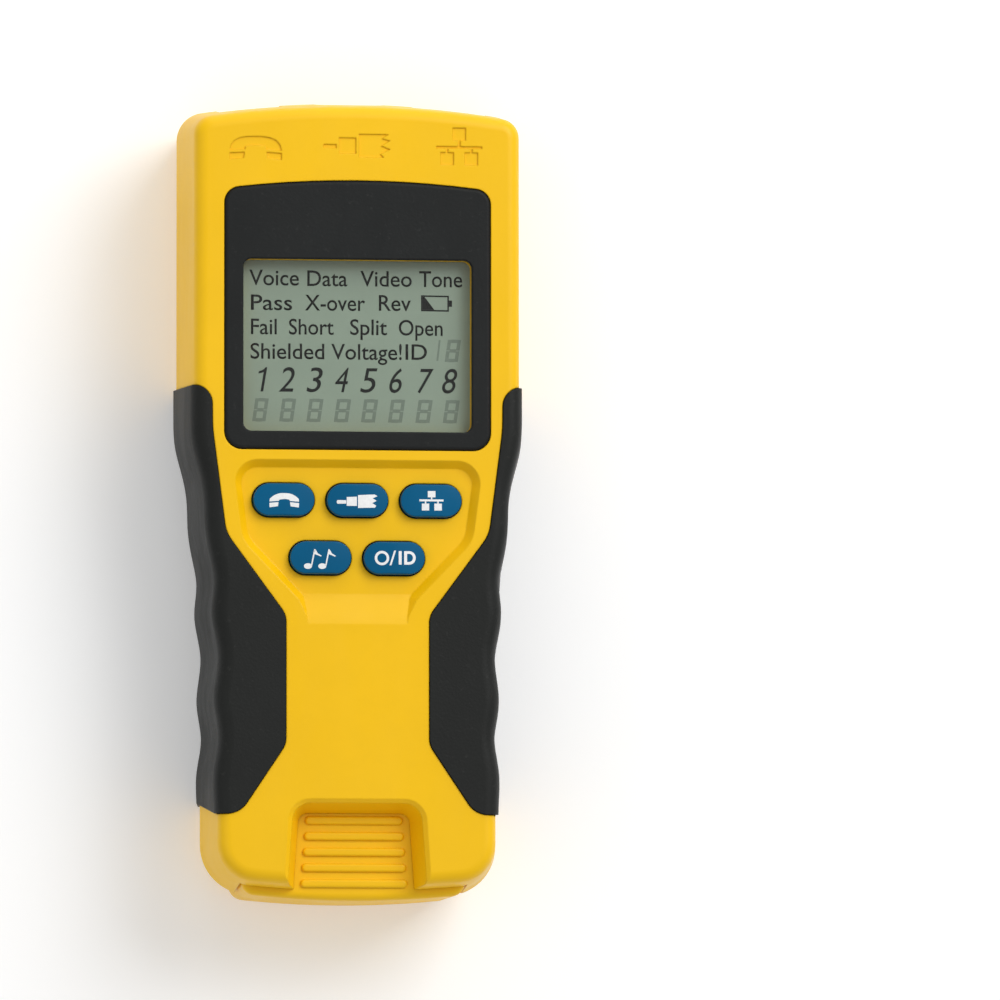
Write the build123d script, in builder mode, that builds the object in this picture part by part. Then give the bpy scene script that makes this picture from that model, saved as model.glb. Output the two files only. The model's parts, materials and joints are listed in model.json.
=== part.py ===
"""Hand-held network cable tester: two-shell case with moulded-on grips, display, five keys,
three test ports on the top end, 9 V battery with a hinged door, and a pull-out test remote
stowed in the bottom end.

Frame: the tester lies on its back. Z = 0 is the back face, +Z comes out of the front face,
+Y runs towards the ports, +X is to the right as the user reads the display. Millimetres.
"""

from build123d import *
import os

os.makedirs("parts", exist_ok=True)

# ------------------------------------------------------------------ driving dimensions
# case
HALF_W_TOP = 37.1        # half width of the head of the case
HALF_W_LOW = 31.95       # half width of the handle
Y_TOP = 86.5             # crown of the top end
Y_BOT = -84.9            # crown of the case's bottom end
END_R = 215.0            # plan radius of the top end
BOT_END_R = 240.0        # plan radius of the bottom end
Z_SPLIT = 19.0           # parting plane of the two shells
Z_FACE = 36.6            # front face
EDGE_R = 2.8             # edge rounding, front
EDGE_R_BACK = 3.2        # edge rounding, back
DRAFT = 7.5              # draft of every outside wall, away from the parting plane
SEAT = 1.6               # depth of the seat that each grip is moulded into
WALL = 2.8               # wall, measured from the outside of the case
Z_ROOF = Z_FACE - WALL   # inner side of the front wall
BACK_T = 3.0             # back wall

# display
BEZ_HW, BEZ_Y0, BEZ_Y1 = 28.65, 10.6, 68.3
WIN_HW, WIN_Y0, WIN_Y1 = 24.6, 14.5, 51.4
Z_POCKET = 34.8          # floor of the bezel's pocket
Z_BEZEL = 36.85
Z_LENS = 35.8
Z_LCD = 33.3

# keys
KEY_W, KEY_H = 13.1, 7.0
KEY_GAP = 0.3
KEY_PITCH = 15.85
KEY_Y1, KEY_Y2 = -0.2, -12.55
Z_KEYFLOOR = 34.75       # floor of the key panel
Z_KEYTOP = 36.9
KEYS = {
    "phone": (-KEY_PITCH, KEY_Y1),
    "coax": (0.0, KEY_Y1),
    "network": (KEY_PITCH, KEY_Y1),
    "tone": (-KEY_PITCH / 2, KEY_Y2),
    "power": (KEY_PITCH / 2, KEY_Y2),
}
KEY_TRAVEL = 0.9

# circuit board
PCB_Z0, PCB_Z1 = 24.6, 26.2

# ports on the top end
PORT_X = 21.7
JACK_FACE_Y = 83.2
NET_W, NET_H, NET_L = 15.9, 13.4, 18.5
TEL_W, TEL_H, TEL_L = 13.4, 11.6, 18.0
COAX_Z = 18.1
COAX_R = 4.7
WELL_R = 7.6

# battery
BAT_W, BAT_L, BAT_T = 26.5, 46.4, 17.5
BAT_Y0 = -42.4
BAT_Z0 = 3.4
DOOR_HW, DOOR_Y1 = 16.8, 15.0
HINGE_Y, HINGE_Z, KNUCKLE_R = -45.0, 1.3, 1.3

# remote
REM_HW, REM_Y_IN, REM_Y_END = 24.2, -48.0, -85.6
BAY_HW = REM_HW + 0.3
REM_Z0, REM_Z1, REM_SPLIT = 3.2, 29.4, 14.0
REM_WALL = 1.6

SCREW_POS = [(-28.0, 59.0), (28.0, 59.0), (-21.2, -39.4), (21.2, -39.4)]
PCB_SCREW_POS = [(-10.6, 60.5), (10.6, 60.5), (-25.0, -14.0), (25.0, -14.0)]


def save(part, name):
    part.label = name
    export_step(part, f"parts/{name}.step")


def case_outline():
    """Plan outline of the case at the parting plane."""
    yt = Y_TOP - HALF_W_TOP**2 / (2 * END_R)
    yb = Y_BOT + HALF_W_LOW**2 / (2 * BOT_END_R)
    xm = (HALF_W_TOP + HALF_W_LOW) / 2
    with BuildSketch() as sk:
        with BuildLine():
            ThreePointArc((HALF_W_TOP, yt), (0, Y_TOP), (-HALF_W_TOP, yt))
            Line((-HALF_W_TOP, yt), (-HALF_W_TOP, 16))
            a = TangentArc((-HALF_W_TOP, 16), (-xm, -3), tangent=(0, -1))
            TangentArc((-xm, -3), (-HALF_W_LOW, -22), tangent=a % 1)
            Line((-HALF_W_LOW, -22), (-HALF_W_LOW, yb))
            ThreePointArc((-HALF_W_LOW, yb), (0, Y_BOT), (HALF_W_LOW, yb))
            Line((HALF_W_LOW, yb), (HALF_W_LOW, -22))
            b = TangentArc((HALF_W_LOW, -22), (xm, -3), tangent=(0, 1))
            TangentArc((xm, -3), (HALF_W_TOP, 16), tangent=b % 1)
            Line((HALF_W_TOP, 16), (HALF_W_TOP, yt))
        make_face()
        fillet(sk.vertices().filter_by(lambda v: v.Y > 70), 6.2)
        fillet(sk.vertices().filter_by(lambda v: v.Y < -70), 10.5)
    return sk.sketch


OUTLINE = case_outline()
OUTLINE_SEAT = offset(OUTLINE, amount=-SEAT, kind=Kind.ARC)
OUTLINE_CAV = offset(OUTLINE, amount=-WALL, kind=Kind.ARC)


def slab(outline, height, r_edge=0.0, rear=False):
    """An outline raised from the parting plane with draft and a rounded far edge, to the front or to the rear."""
    with BuildPart() as p:
        with BuildSketch(Plane.XY.offset(Z_SPLIT)):
            add(outline)
        extrude(amount=height, taper=DRAFT)
        if r_edge:
            fillet(p.edges().group_by(Axis.Z)[-1], r_edge)
    return mirror(p.part, about=Plane.XY.offset(Z_SPLIT)) if rear else p.part


def box(x0, x1, y0, y1, z0, z1):
    """A plain block between two corners, private to whoever asks for it."""
    blk = Box(x1 - x0, y1 - y0, z1 - z0, mode=Mode.PRIVATE)
    return Pos((x0 + x1) / 2, (y0 + y1) / 2, (z0 + z1) / 2) * blk


# ------------------------------------------------------------------ grip regions
# inner boundary of the front grip (right-hand side), and the finger-grooved outside line
GRIP_END = -67.3
GRIP_IN = [
    (48.0, 24.2), (31.4, 24.2), (31.3, 15.0), (28.4, -7.4), (15.5, -24.9),
    (15.5, -52.5), (25.4, GRIP_END), (48.0, GRIP_END),
]
GRIP_WAVE = [
    (37.75, 25.0), (37.75, 19.0), (37.4, 12.0), (35.75, 5.4), (34.85, 0.0), (34.65, -5.6),
    (33.7, -11.9), (32.75, -17.7), (33.2, -24.0), (31.85, -33.4), (32.7, -43.2),
    (31.75, -50.7), (32.75, -58.5), (32.75, -63.5), (32.6, -69.5),
]


def mask_front(gap=0.0):
    """Solid over the right-hand front grip's area; gap widens it all round in plan."""
    with BuildPart() as p:
        with BuildSketch(Plane.XY.offset(Z_SPLIT)) as s:
            with BuildLine():
                Polyline(*GRIP_IN, close=True)
            make_face()
            for near, r in (((31.4, 24.2), 4.0), ((31.3, 15.0), 30.0), ((28.4, -7.4), 8.0), ((15.5, -24.9), 4.5), ((15.5, -52.5), 4.5), ((25.4, GRIP_END), 5.0)):
                fillet(s.vertices().sort_by_distance((near[0], near[1], Z_SPLIT))[0], r)
            if gap:
                offset(s.sketch, amount=gap, kind=Kind.ARC, mode=Mode.REPLACE)
        extrude(amount=25)
        # the lower end slopes up towards the parting plane
        with BuildSketch(Plane.YZ.offset(8)):
            with BuildLine():
                Polyline(
                    (GRIP_END - gap, 38.0), (GRIP_END - gap, 34.5), (-64.4 - gap, Z_SPLIT - 0.5), (-80, Z_SPLIT - 0.5), (-80, 38.0),
                    close=True,
                )
            make_face()
        extrude(amount=50, mode=Mode.SUBTRACT)
    return p.part


def mask_rear(gap=0.0):
    """Solid over the right-hand rear grip's area."""
    with BuildPart() as p:
        with BuildSketch(Plane.XY.offset(-1)) as s:
            with BuildLine():
                Polyline(
                    (48, 24.2), (31.0, 24.2), (29.2, 8), (26.6, -10), (25.4, -26), (25.4, -58.0), (29.0, -64.4), (48, -64.4),
                    close=True,
                )
            make_face()
            for near, r in (((31.0, 24.2), 4.0), ((29.2, 8), 20.0), ((26.6, -10), 20.0), ((25.4, -26), 12.0), ((25.4, -58.0), 6.0), ((29.0, -64.4), 3.0)):
                fillet(s.vertices().sort_by_distance((near[0], near[1], -1))[0], r)
            if gap:
                offset(s.sketch, amount=gap, kind=Kind.ARC, mode=Mode.REPLACE)
        extrude(amount=Z_SPLIT + 1)
    return p.part


def grip_block(height, r_edge, rear=False):
    """The finger-grooved outer volume of a grip, right-hand side, drafted like the case."""
    inset = height * 0.1317
    with BuildPart() as p:
        for z, dx in ((0.0, 0.0), (height, inset)):
            with BuildSketch(Plane.XY.offset(Z_SPLIT + z)):
                with BuildLine():
                    pts = [(x - dx, y) for x, y in GRIP_WAVE]
                    w = Spline(*pts, tangents=[(0, -1), (0, -1)])
                    Polyline(w @ 1, (8, GRIP_WAVE[-1][1]), (8, 25.0), w @ 0)
                make_face()
        loft(ruled=True)
        fillet(p.edges().group_by(Axis.Z)[-1].filter_by(GeomType.BSPLINE), r_edge)
    return mirror(p.part, about=Plane.XY.offset(Z_SPLIT)) if rear else p.part


# ------------------------------------------------------------------ front housing
CASE_F = slab(OUTLINE, Z_FACE - Z_SPLIT, EDGE_R)
SEAT_F = slab(OUTLINE_SEAT, Z_FACE - SEAT - Z_SPLIT, EDGE_R - SEAT)
CAV_F = slab(OUTLINE_CAV, Z_ROOF - Z_SPLIT, 0.9)
MASK_F = mask_front()
MASK_F_WIDE = mask_front(0.16)
GRIP_F = (grip_block(Z_FACE + 0.35 - Z_SPLIT, 3.3) & MASK_F) - SEAT_F
SEAT_CUT_F = (MASK_F_WIDE & CASE_F) - SEAT_F

CASE_R = slab(OUTLINE, Z_SPLIT, EDGE_R_BACK, rear=True)
# shallow step along the parting line
SEAM_OUT = offset(OUTLINE, amount=1.0, kind=Kind.ARC)
SEAM_IN = offset(OUTLINE, amount=-0.4, kind=Kind.ARC)
with BuildPart() as seam:
    with BuildSketch(Plane.XY.offset(Z_SPLIT - 0.24)):
        add(SEAM_OUT)
        add(SEAM_IN, mode=Mode.SUBTRACT)
    extrude(amount=0.24)
SEAM = seam.part
SEAT_R = slab(OUTLINE_SEAT, Z_SPLIT - SEAT, EDGE_R_BACK - SEAT, rear=True)
CAV_R = slab(OUTLINE_CAV, Z_SPLIT - BACK_T, 0.9, rear=True)
GRIP_R = (grip_block(Z_SPLIT, 3.0, rear=True) & mask_rear()) - SEAT_R
SEAT_CUT_R = (mask_rear(0.16) & CASE_R) - SEAT_R


def key_panel_cut():
    """The tapered recess that the keys stand in; it runs out in a ramp towards the handle."""
    with BuildPart() as p:
        with BuildSketch(Plane.XY.offset(Z_KEYFLOOR)) as s:
            with BuildLine():
                Polyline(
                    (-25.3, 6.8), (25.3, 6.8), (23.3, -8.2), (11.4, -20.6), (9.4, -24.6), (8.8, -29.0),
                    (-8.8, -29.0), (-9.4, -24.6), (-11.4, -20.6), (-23.3, -8.2),
                    close=True,
                )
            make_face()
            fillet(s.vertices().filter_by(lambda v: v.Y > 6), 3.4)
            fillet(s.vertices().filter_by(lambda v: -9 < v.Y < -8), 6.0)
            fillet(s.vertices().filter_by(lambda v: -21 < v.Y < -20), 4.0)
            fillet(s.vertices().filter_by(lambda v: -25 < v.Y < -24), 6.0)
        extrude(amount=3.2, taper=-41)
        with BuildSketch(Plane.YZ.offset(-40)):
            with BuildLine():
                Line((12, Z_KEYFLOOR), (-20.2, Z_KEYFLOOR))
                Spline((-20.2, Z_KEYFLOOR), (-23.4, Z_KEYFLOOR + 1.0), (-26.9, Z_FACE + 0.02), tangents=[(-1, 0.22), (-1, 0.12)])
                Line((-26.9, Z_FACE + 0.02), (-26.9, 42))
                Line((-26.9, 42), (12, 42))
                Line((12, 42), (12, Z_KEYFLOOR))
            make_face()
        extrude(amount=80, mode=Mode.INTERSECT)
    return p.part


def notch_cut(extra=0.0, z0=29.5, z1=37.6, lip=True):
    """The U-shaped opening over the remote's thumb face. extra thickens it into its own wall."""
    slope = 18.0
    with BuildPart() as p:
        with BuildSketch(Plane.XY.offset(z0)) as s:
            with BuildLine():
                Polyline(
                    (-11.8 - extra, -67.0 + extra), (11.8 + extra, -67.0 + extra),
                    (13.3 + extra, -88.0), (-13.3 - extra, -88.0), close=True,
                )
            make_face()
            fillet(s.vertices().filter_by(lambda v: v.Y > -70), 2.0 + extra)
        extrude(amount=z1 - z0, taper=-slope)
        if lip:
            # eased edge where the walls meet the face
            d = (Z_FACE - 0.7 - z0) * 0.325
            with BuildSketch(Plane.XY.offset(Z_FACE - 0.7)) as t:
                with BuildLine():
                    Polyline(
                        (-11.8 - d, -67.0 + d), (11.8 + d, -67.0 + d), (13.3 + d, -88.0), (-13.3 - d, -88.0), close=True,
                    )
                make_face()
                fillet(t.vertices().filter_by(lambda v: v.Y > -70), 2.0 + d)
            extrude(amount=1.6, taper=-50)
    return p.part


def bezel_outline(grow=0.0):
    with BuildSketch() as s:
        with BuildLine():
            ys = BEZ_Y1 - BEZ_HW**2 / (2 * END_R)
            ThreePointArc((-BEZ_HW, ys), (0, BEZ_Y1), (BEZ_HW, ys))
            Line((BEZ_HW, ys), (BEZ_HW, BEZ_Y0))
            Line((BEZ_HW, BEZ_Y0), (-BEZ_HW, BEZ_Y0))
            Line((-BEZ_HW, BEZ_Y0), (-BEZ_HW, ys))
        make_face()
        fillet(s.vertices().filter_by(lambda v: v.Y > 40), 3.4)
        fillet(s.vertices().filter_by(lambda v: v.Y < 40), 3.8)
        if grow:
            offset(s.sketch, amount=grow, kind=Kind.ARC, mode=Mode.REPLACE)
    return s.sketch


BEZEL_PLAN = bezel_outline()
BEZEL_POCKET = bezel_outline(0.12)
KEY_CUT = key_panel_cut()
NOTCH = notch_cut()
NOTCH_WALL = notch_cut(1.7, 29.6, Z_ROOF + 0.3, lip=False) & box(-40, 40, -82.5, -50, 0, 40)


def icon_phone():
    """Telephone handset, 12 mm wide, about the origin."""
    with BuildSketch() as s:
        with BuildLine():
            top = Spline((-5.7, -0.8), (-4.7, 1.5), (0.0, 2.6), (4.7, 1.5), (5.7, -0.8))
            Line(top @ 1, (2.3, -0.55))
            Line((2.3, -0.55), (2.2, 0.15))
            ThreePointArc((2.2, 0.15), (0, 0.45), (-2.2, 0.15))
            Line((-2.2, 0.15), (-2.3, -0.55))
            Line((-2.3, -0.55), top @ 0)
        make_face()
        for sx in (-1, 1):
            with BuildLine():
                Polyline((sx * 5.75, -1.4), (sx * 2.4, -1.15), (sx * 2.6, -2.6), (sx * 5.7, -3.0), close=True)
            make_face()
    return s.sketch


def icon_coax():
    """Stepped coaxial plug with a frayed cable end, 17 mm long."""
    with BuildSketch() as s:
        with BuildLine():
            Polyline(
                (-8.4, 0.1), (-8.4, -0.75), (-5.2, -0.75), (-5.2, 0.1), close=True
            )
        make_face()
        with BuildLine():
            Polyline((-4.6, 1.6), (-4.6, -1.9), (-0.4, -1.9), (-0.4, 1.6), close=True)
        make_face()
        with BuildLine():
            Polyline(
                (0.3, 2.4), (0.3, -2.7), (6.4, -2.7), (5.6, -1.9), (8.0, -0.9), (5.8, -0.1),
                (8.0, 1.0), (6.0, 1.5), (7.6, 2.4), close=True,
            )
        make_face()
    return s.sketch


def icon_network():
    """Three linked boxes, 11 mm wide."""
    with BuildSketch() as s:
        with Locations((0, 3.1)):
            Rectangle(3.2, 2.7)
        with Locations((0, 0.2)):
            Rectangle(11.0, 0.5)
        with Locations((0, 1.1)):
            Rectangle(0.6, 1.6)
        for sx in (-1, 1):
            with Locations((sx * 2.9, -2.2)):
                Rectangle(3.2, 2.7)
            with Locations((sx * 2.9, -0.5)):
                Rectangle(0.6, 1.2)
    return s.sketch


PORT_ICONS = [
    (scale(icon_phone(), by=(0.98, 0.9, 1)), -22.0, 75.3),
    (scale(icon_coax(), by=(0.88, 0.98, 1)), 0.0, 76.0),
    (scale(icon_network(), by=(0.9, 1.0, 1)), 21.9, 75.5),
]

# walls of the remote's bay: sides, ceiling and end, and the thumb notch's own walls
BAY_WALLS_F = (
    box(BAY_HW, BAY_HW + 1.6, -84, -46.0, Z_SPLIT, Z_ROOF + 0.2)
    + box(-BAY_HW - 1.6, -BAY_HW, -84, -46.0, Z_SPLIT, Z_ROOF + 0.2)
    + box(-BAY_HW - 1.6, BAY_HW + 1.6, -84, -46.0, 29.6, 31.0)
    + box(-BAY_HW - 1.6, BAY_HW + 1.6, -47.6, -46.0, Z_SPLIT, Z_ROOF + 0.2)
    + NOTCH_WALL
) & CASE_F
BAY_WALLS_R = (
    box(BAY_HW, BAY_HW + 1.6, -84, -46.0, BACK_T - 0.5, Z_SPLIT)
    + box(-BAY_HW - 1.6, -BAY_HW, -84, -46.0, BACK_T - 0.5, Z_SPLIT)
    + box(-BAY_HW - 1.6, BAY_HW + 1.6, -47.6, -46.0, BACK_T - 0.5, Z_SPLIT)
) & CASE_R

with BuildPart() as front_housing:
    add(CASE_F)
    add(CAV_F, mode=Mode.SUBTRACT)
    # thicker roof under the bezel and under the key panel
    with BuildSketch(Plane.XY.offset(33.4)) as roof_pad:
        with Locations((0, 40)):
            RectangleRounded(60, 62, 4)
    extrude(amount=0.8)
    with BuildSketch(Plane.XY.offset(32.6)) as key_pad:
        with BuildLine():
            Polyline((-28.6, 9.4), (28.6, 9.4), (26.0, -9.4), (13.5, -28.5), (-13.5, -28.5), (-26.0, -9.4), close=True)
        make_face()
    extrude(amount=1.6)
    # screw bosses for the case and posts for the circuit board
    with BuildSketch(Plane.XY.offset(Z_SPLIT)):
        with Locations(*SCREW_POS):
            Circle(2.95)
    extrude(amount=Z_ROOF - Z_SPLIT + 0.4)
    with BuildSketch(Plane.XY.offset(PCB_Z1)):
        with Locations(*PCB_SCREW_POS):
            Circle(2.3)
    extrude(amount=Z_ROOF - PCB_Z1 + 0.2)
    with BuildSketch(Plane.XY.offset(Z_SPLIT)):
        with Locations(*SCREW_POS):
            Circle(1.2)
    extrude(amount=10, mode=Mode.SUBTRACT)
    with BuildSketch(Plane.XY.offset(PCB_Z1)):
        with Locations(*PCB_SCREW_POS):
            Circle(0.85)
    extrude(amount=6.2, mode=Mode.SUBTRACT)
    # half of the round well around the coaxial port
    with BuildSketch(Plane.XZ.offset(-74.2)):
        with Locations((0, COAX_Z)):
            Circle(WELL_R + 1.4)
    extrude(amount=-9.8)
    add(BAY_WALLS_F)
    # cuts
    add(box(-60, 60, -100, 100, -5, Z_SPLIT), mode=Mode.SUBTRACT)
    add(NOTCH, mode=Mode.SUBTRACT)
    add(box(-BAY_HW, BAY_HW, -90, -47.6, Z_SPLIT - 1, 29.6), mode=Mode.SUBTRACT)
    with BuildSketch(Plane.XY.offset(Z_POCKET)):
        add(BEZEL_POCKET)
    extrude(amount=4, mode=Mode.SUBTRACT)
    with BuildSketch(Plane.XY.offset(30)):
        with Locations((0, (WIN_Y0 + WIN_Y1) / 2)):
            RectangleRounded(2 * WIN_HW - 0.1, WIN_Y1 - WIN_Y0 - 0.1, 1.7)
    extrude(amount=8, mode=Mode.SUBTRACT)
    add(KEY_CUT, mode=Mode.SUBTRACT)
    with BuildSketch(Plane.XY.offset(30)):
        with Locations(*KEYS.values()):
            SlotOverall(KEY_W + 2 * KEY_GAP, KEY_H + 2 * KEY_GAP)
    extrude(amount=8, mode=Mode.SUBTRACT)
    add(SEAT_CUT_F, mode=Mode.SUBTRACT)
    add(mirror(SEAT_CUT_F, about=Plane.YZ), mode=Mode.SUBTRACT)
    # port openings
    with BuildSketch(Plane.XZ.offset(-75.6)):
        with Locations((0, COAX_Z)):
            Circle(WELL_R)
    extrude(amount=-14, mode=Mode.SUBTRACT)
    with BuildSketch(Plane.XZ.offset(-70)):
        with Locations((0, COAX_Z)):
            Circle(COAX_R + 0.25)
    extrude(amount=-8, mode=Mode.SUBTRACT)
    add(box(PORT_X - NET_W / 2 - 0.15, PORT_X + NET_W / 2 + 0.15, 79, 90, 10, PCB_Z0 + 0.15), mode=Mode.SUBTRACT)
    add(box(-PORT_X - TEL_W / 2 - 0.15, -PORT_X + TEL_W / 2 + 0.15, 79, 90, 10, PCB_Z0 + 0.15), mode=Mode.SUBTRACT)
    # port symbols cut shallowly into the face above the display
    for icon, x, y in PORT_ICONS:
        with BuildSketch(Plane.XY.offset(Z_FACE - 0.28)):
            with Locations((x, y)):
                add(icon)
        extrude(amount=0.5, mode=Mode.SUBTRACT)
save(front_housing.part, "front_housing")

# ------------------------------------------------------------------ grips
for side, body in (("right", GRIP_F), ("left", mirror(GRIP_F, about=Plane.YZ))):
    with BuildPart() as grip_front:
        add(body)
    save(grip_front.part, f"grip_front_{side}")
for side, body in (("right", GRIP_R), ("left", mirror(GRIP_R, about=Plane.YZ))):
    with BuildPart() as grip_rear:
        add(body)
    save(grip_rear.part, f"grip_rear_{side}")

# ------------------------------------------------------------------ rear housing
with BuildPart() as rear_housing:
    add(CASE_R)
    add(CAV_R, mode=Mode.SUBTRACT)
    add(SEAM, mode=Mode.SUBTRACT)
    with BuildSketch(Plane.XY.offset(BACK_T - 1)):
        with Locations(*SCREW_POS):
            Circle(4.1)
    extrude(amount=Z_SPLIT - BACK_T + 1)
    # battery box, roofed over, with a solid block behind the hinge
    add(box(-15.5, 15.5, -47.6, 12.2, BACK_T - 0.5, 22.6))
    add(box(-13.85, 13.85, -42.9, 10.6, BACK_T - 1, 21.3), mode=Mode.SUBTRACT)
    add(box(-3.0, 3.0, 10.0, 13.0, 17.0, 23.0), mode=Mode.SUBTRACT)
    add(box(-16, 16, -48, -45.8, Z_SPLIT, 23.0), mode=Mode.SUBTRACT)
    add(BAY_WALLS_R)
    # half of the coaxial port's well, and shelves under the two jacks
    with BuildSketch(Plane.XZ.offset(-74.2)):
        with Locations((0, COAX_Z)):
            Circle(WELL_R + 1.4)
    extrude(amount=-9.8)
    add(box(-60, 60, 60, 100, Z_SPLIT, 40), mode=Mode.SUBTRACT)
    add(box(PORT_X - 5.4, PORT_X - 3.4, 66, 79, BACK_T - 0.5, PCB_Z0 - NET_H - 0.2))
    add(box(PORT_X + 3.4, PORT_X + 5.4, 66, 79, BACK_T - 0.5, PCB_Z0 - NET_H - 0.2))
    add(box(-PORT_X - 5.5, -PORT_X - 3.5, 67, 79, BACK_T - 0.5, PCB_Z0 - TEL_H - 0.2))
    add(box(-PORT_X + 3.5, -PORT_X + 5.5, 67, 79, BACK_T - 0.5, PCB_Z0 - TEL_H - 0.2))
    # ribs across the floor of the head
    add(box(-32, 32, 24.0, 25.4, BACK_T - 0.5, BACK_T + 3.0))
    add(box(-32, 32, 44.0, 45.4, BACK_T - 0.5, BACK_T + 3.0))
    # cuts: remote's mouth, door seat, door opening, hinge groove
    add(box(-BAY_HW, BAY_HW, -90, -47.6, BACK_T, Z_SPLIT + 8), mode=Mode.SUBTRACT)
    with BuildSketch(Plane.XY.offset(-1)) as seat:
        with Locations((0, (-42.9 + DOOR_Y1 + 0.2) / 2)):
            RectangleRounded(2 * DOOR_HW + 0.4, DOOR_Y1 + 0.2 + 42.9, 1.6)
    extrude(amount=2.95, mode=Mode.SUBTRACT)
    with BuildSketch(Plane.XY.offset(-1)):
        with Locations((0, 14.6)):
            RectangleRounded(15.4, 6.6, 2.2)
    extrude(amount=2.95, mode=Mode.SUBTRACT)
    add(box(-13.85, 13.85, -42.9, 10.6, -1, BACK_T + 1), mode=Mode.SUBTRACT)
    add(box(-11.7, 11.7, -46.6, -42.9, -1, 2.85), mode=Mode.SUBTRACT)
    with BuildSketch(Plane.YZ.offset(-13.5)):
        with Locations((HINGE_Y, HINGE_Z)):
            Circle(0.9)
    extrude(amount=27, mode=Mode.SUBTRACT)
    # counterbores and screw clearance
    with BuildSketch(Plane.XY.offset(-1)):
        with Locations(*SCREW_POS):
            Circle(2.85)
    extrude(amount=12.0, mode=Mode.SUBTRACT)
    with BuildSketch(Plane.XY.offset(-1)):
        with Locations(*SCREW_POS):
            Circle(1.55)
    extrude(amount=30, mode=Mode.SUBTRACT)
    add(SEAT_CUT_R, mode=Mode.SUBTRACT)
    add(mirror(SEAT_CUT_R, about=Plane.YZ), mode=Mode.SUBTRACT)
    # port openings
    with BuildSketch(Plane.XZ.offset(-75.6)):
        with Locations((0, COAX_Z)):
            Circle(WELL_R)
    extrude(amount=-14, mode=Mode.SUBTRACT)
    with BuildSketch(Plane.XZ.offset(-70)):
        with Locations((0, COAX_Z)):
            Circle(COAX_R + 0.25)
    extrude(amount=-8, mode=Mode.SUBTRACT)
    add(box(PORT_X - NET_W / 2 - 0.15, PORT_X + NET_W / 2 + 0.15, 79, 90, PCB_Z0 - NET_H - 0.15, 30), mode=Mode.SUBTRACT)
    add(box(-PORT_X - TEL_W / 2 - 0.15, -PORT_X + TEL_W / 2 + 0.15, 79, 90, PCB_Z0 - TEL_H - 0.15, 30), mode=Mode.SUBTRACT)
    # panel for a rating label, set slightly into the back
    with BuildSketch(Plane.XY.offset(-1)):
        with Locations((0, 44)):
            RectangleRounded(46, 32, 2)
    extrude(amount=1.25, mode=Mode.SUBTRACT)
save(rear_housing.part, "rear_housing")

# ------------------------------------------------------------------ battery door
with BuildPart() as battery_door:
    with BuildSketch():
        with Locations((0, (-42.4 + DOOR_Y1) / 2)):
            RectangleRounded(2 * DOOR_HW, DOOR_Y1 + 42.4, 1.6)
    extrude(amount=1.8)
    with BuildSketch():
        with Locations((0, 14.4)):
            RectangleRounded(15.0, 6.6, 2.0)
    extrude(amount=1.8)
    fillet(battery_door.edges().group_by(Axis.Z)[0], 0.4)
    add(box(-13.2, -12.0, -41.5, 9.6, 1.7, 2.9))
    add(box(12.0, 13.2, -41.5, 9.6, 1.7, 2.9))
    add(box(-13.2, 13.2, 8.4, 9.6, 1.7, 2.9))
    # hinge barrel and its two pivots
    with BuildSketch(Plane.YZ.offset(-11.4)):
        with Locations((HINGE_Y, HINGE_Z)):
            Circle(KNUCKLE_R)
    extrude(amount=22.8)
    add(box(-11.4, 11.4, HINGE_Y, -42.0, 0.5, 1.8))
    with BuildSketch(Plane.YZ.offset(-13.2)):
        with Locations((HINGE_Y, HINGE_Z)):
            Circle(0.8)
    extrude(amount=26.4)
    # thumb hollow with three grip lines, and an arrow
    with BuildSketch(Plane.XY):
        with Locations((0, 9.0)):
            SlotOverall(15, 7.5)
    extrude(amount=0.7, mode=Mode.SUBTRACT)
    for y in (7.2, 9.0, 10.8):
        add(box(-4.8, 4.8, y - 0.3, y + 0.3, 0.25, 0.9))
    with BuildSketch(Plane.XY):
        with BuildLine():
            Polyline((-2.6, 1.6), (2.6, 1.6), (0, -2.0), close=True)
        make_face()
    extrude(amount=0.35, mode=Mode.SUBTRACT)
save(battery_door.part, "battery_door")

# ------------------------------------------------------------------ bezel, lens, display
with BuildPart() as display_bezel:
    with BuildSketch(Plane.XY.offset(Z_POCKET)):
        add(BEZEL_PLAN)
    extrude(amount=Z_BEZEL - Z_POCKET)
    fillet(display_bezel.edges().group_by(Axis.Z)[-1], 0.8)
    with BuildSketch(Plane.XY.offset(Z_POCKET - 1)):
        with Locations((0, (WIN_Y0 + WIN_Y1) / 2)):
            RectangleRounded(2 * WIN_HW, WIN_Y1 - WIN_Y0, 1.8)
    extrude(amount=6, mode=Mode.SUBTRACT)
    with BuildSketch(Plane.XY.offset(Z_POCKET - 1)):
        with Locations((0, (WIN_Y0 + WIN_Y1) / 2)):
            RectangleRounded(2 * WIN_HW + 3.4, WIN_Y1 - WIN_Y0 + 3.4, 2.4)
    extrude(amount=Z_LENS - Z_POCKET + 1, mode=Mode.SUBTRACT)
    rim = display_bezel.faces().filter_by(Axis.Z).sort_by(Axis.Z)[-1].inner_wires()[0]
    fillet(rim.edges(), 0.4)
save(display_bezel.part, "display_bezel")

with BuildPart() as window_lens:
    with BuildSketch(Plane.XY.offset(Z_POCKET)):
        with Locations((0, (WIN_Y0 + WIN_Y1) / 2)):
            RectangleRounded(2 * WIN_HW + 3.2, WIN_Y1 - WIN_Y0 + 3.2, 2.3)
    extrude(amount=Z_LENS - Z_POCKET)
save(window_lens.part, "window_lens")

LCD_CY = (WIN_Y0 + WIN_Y1) / 2
with BuildPart() as lcd_panel:
    with BuildSketch(Plane.XY.offset(30.2)):
        with Locations((0, LCD_CY)):
            Rectangle(51.2, 39.4)
    extrude(amount=2.75)
save(lcd_panel.part, "lcd_panel")

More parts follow.
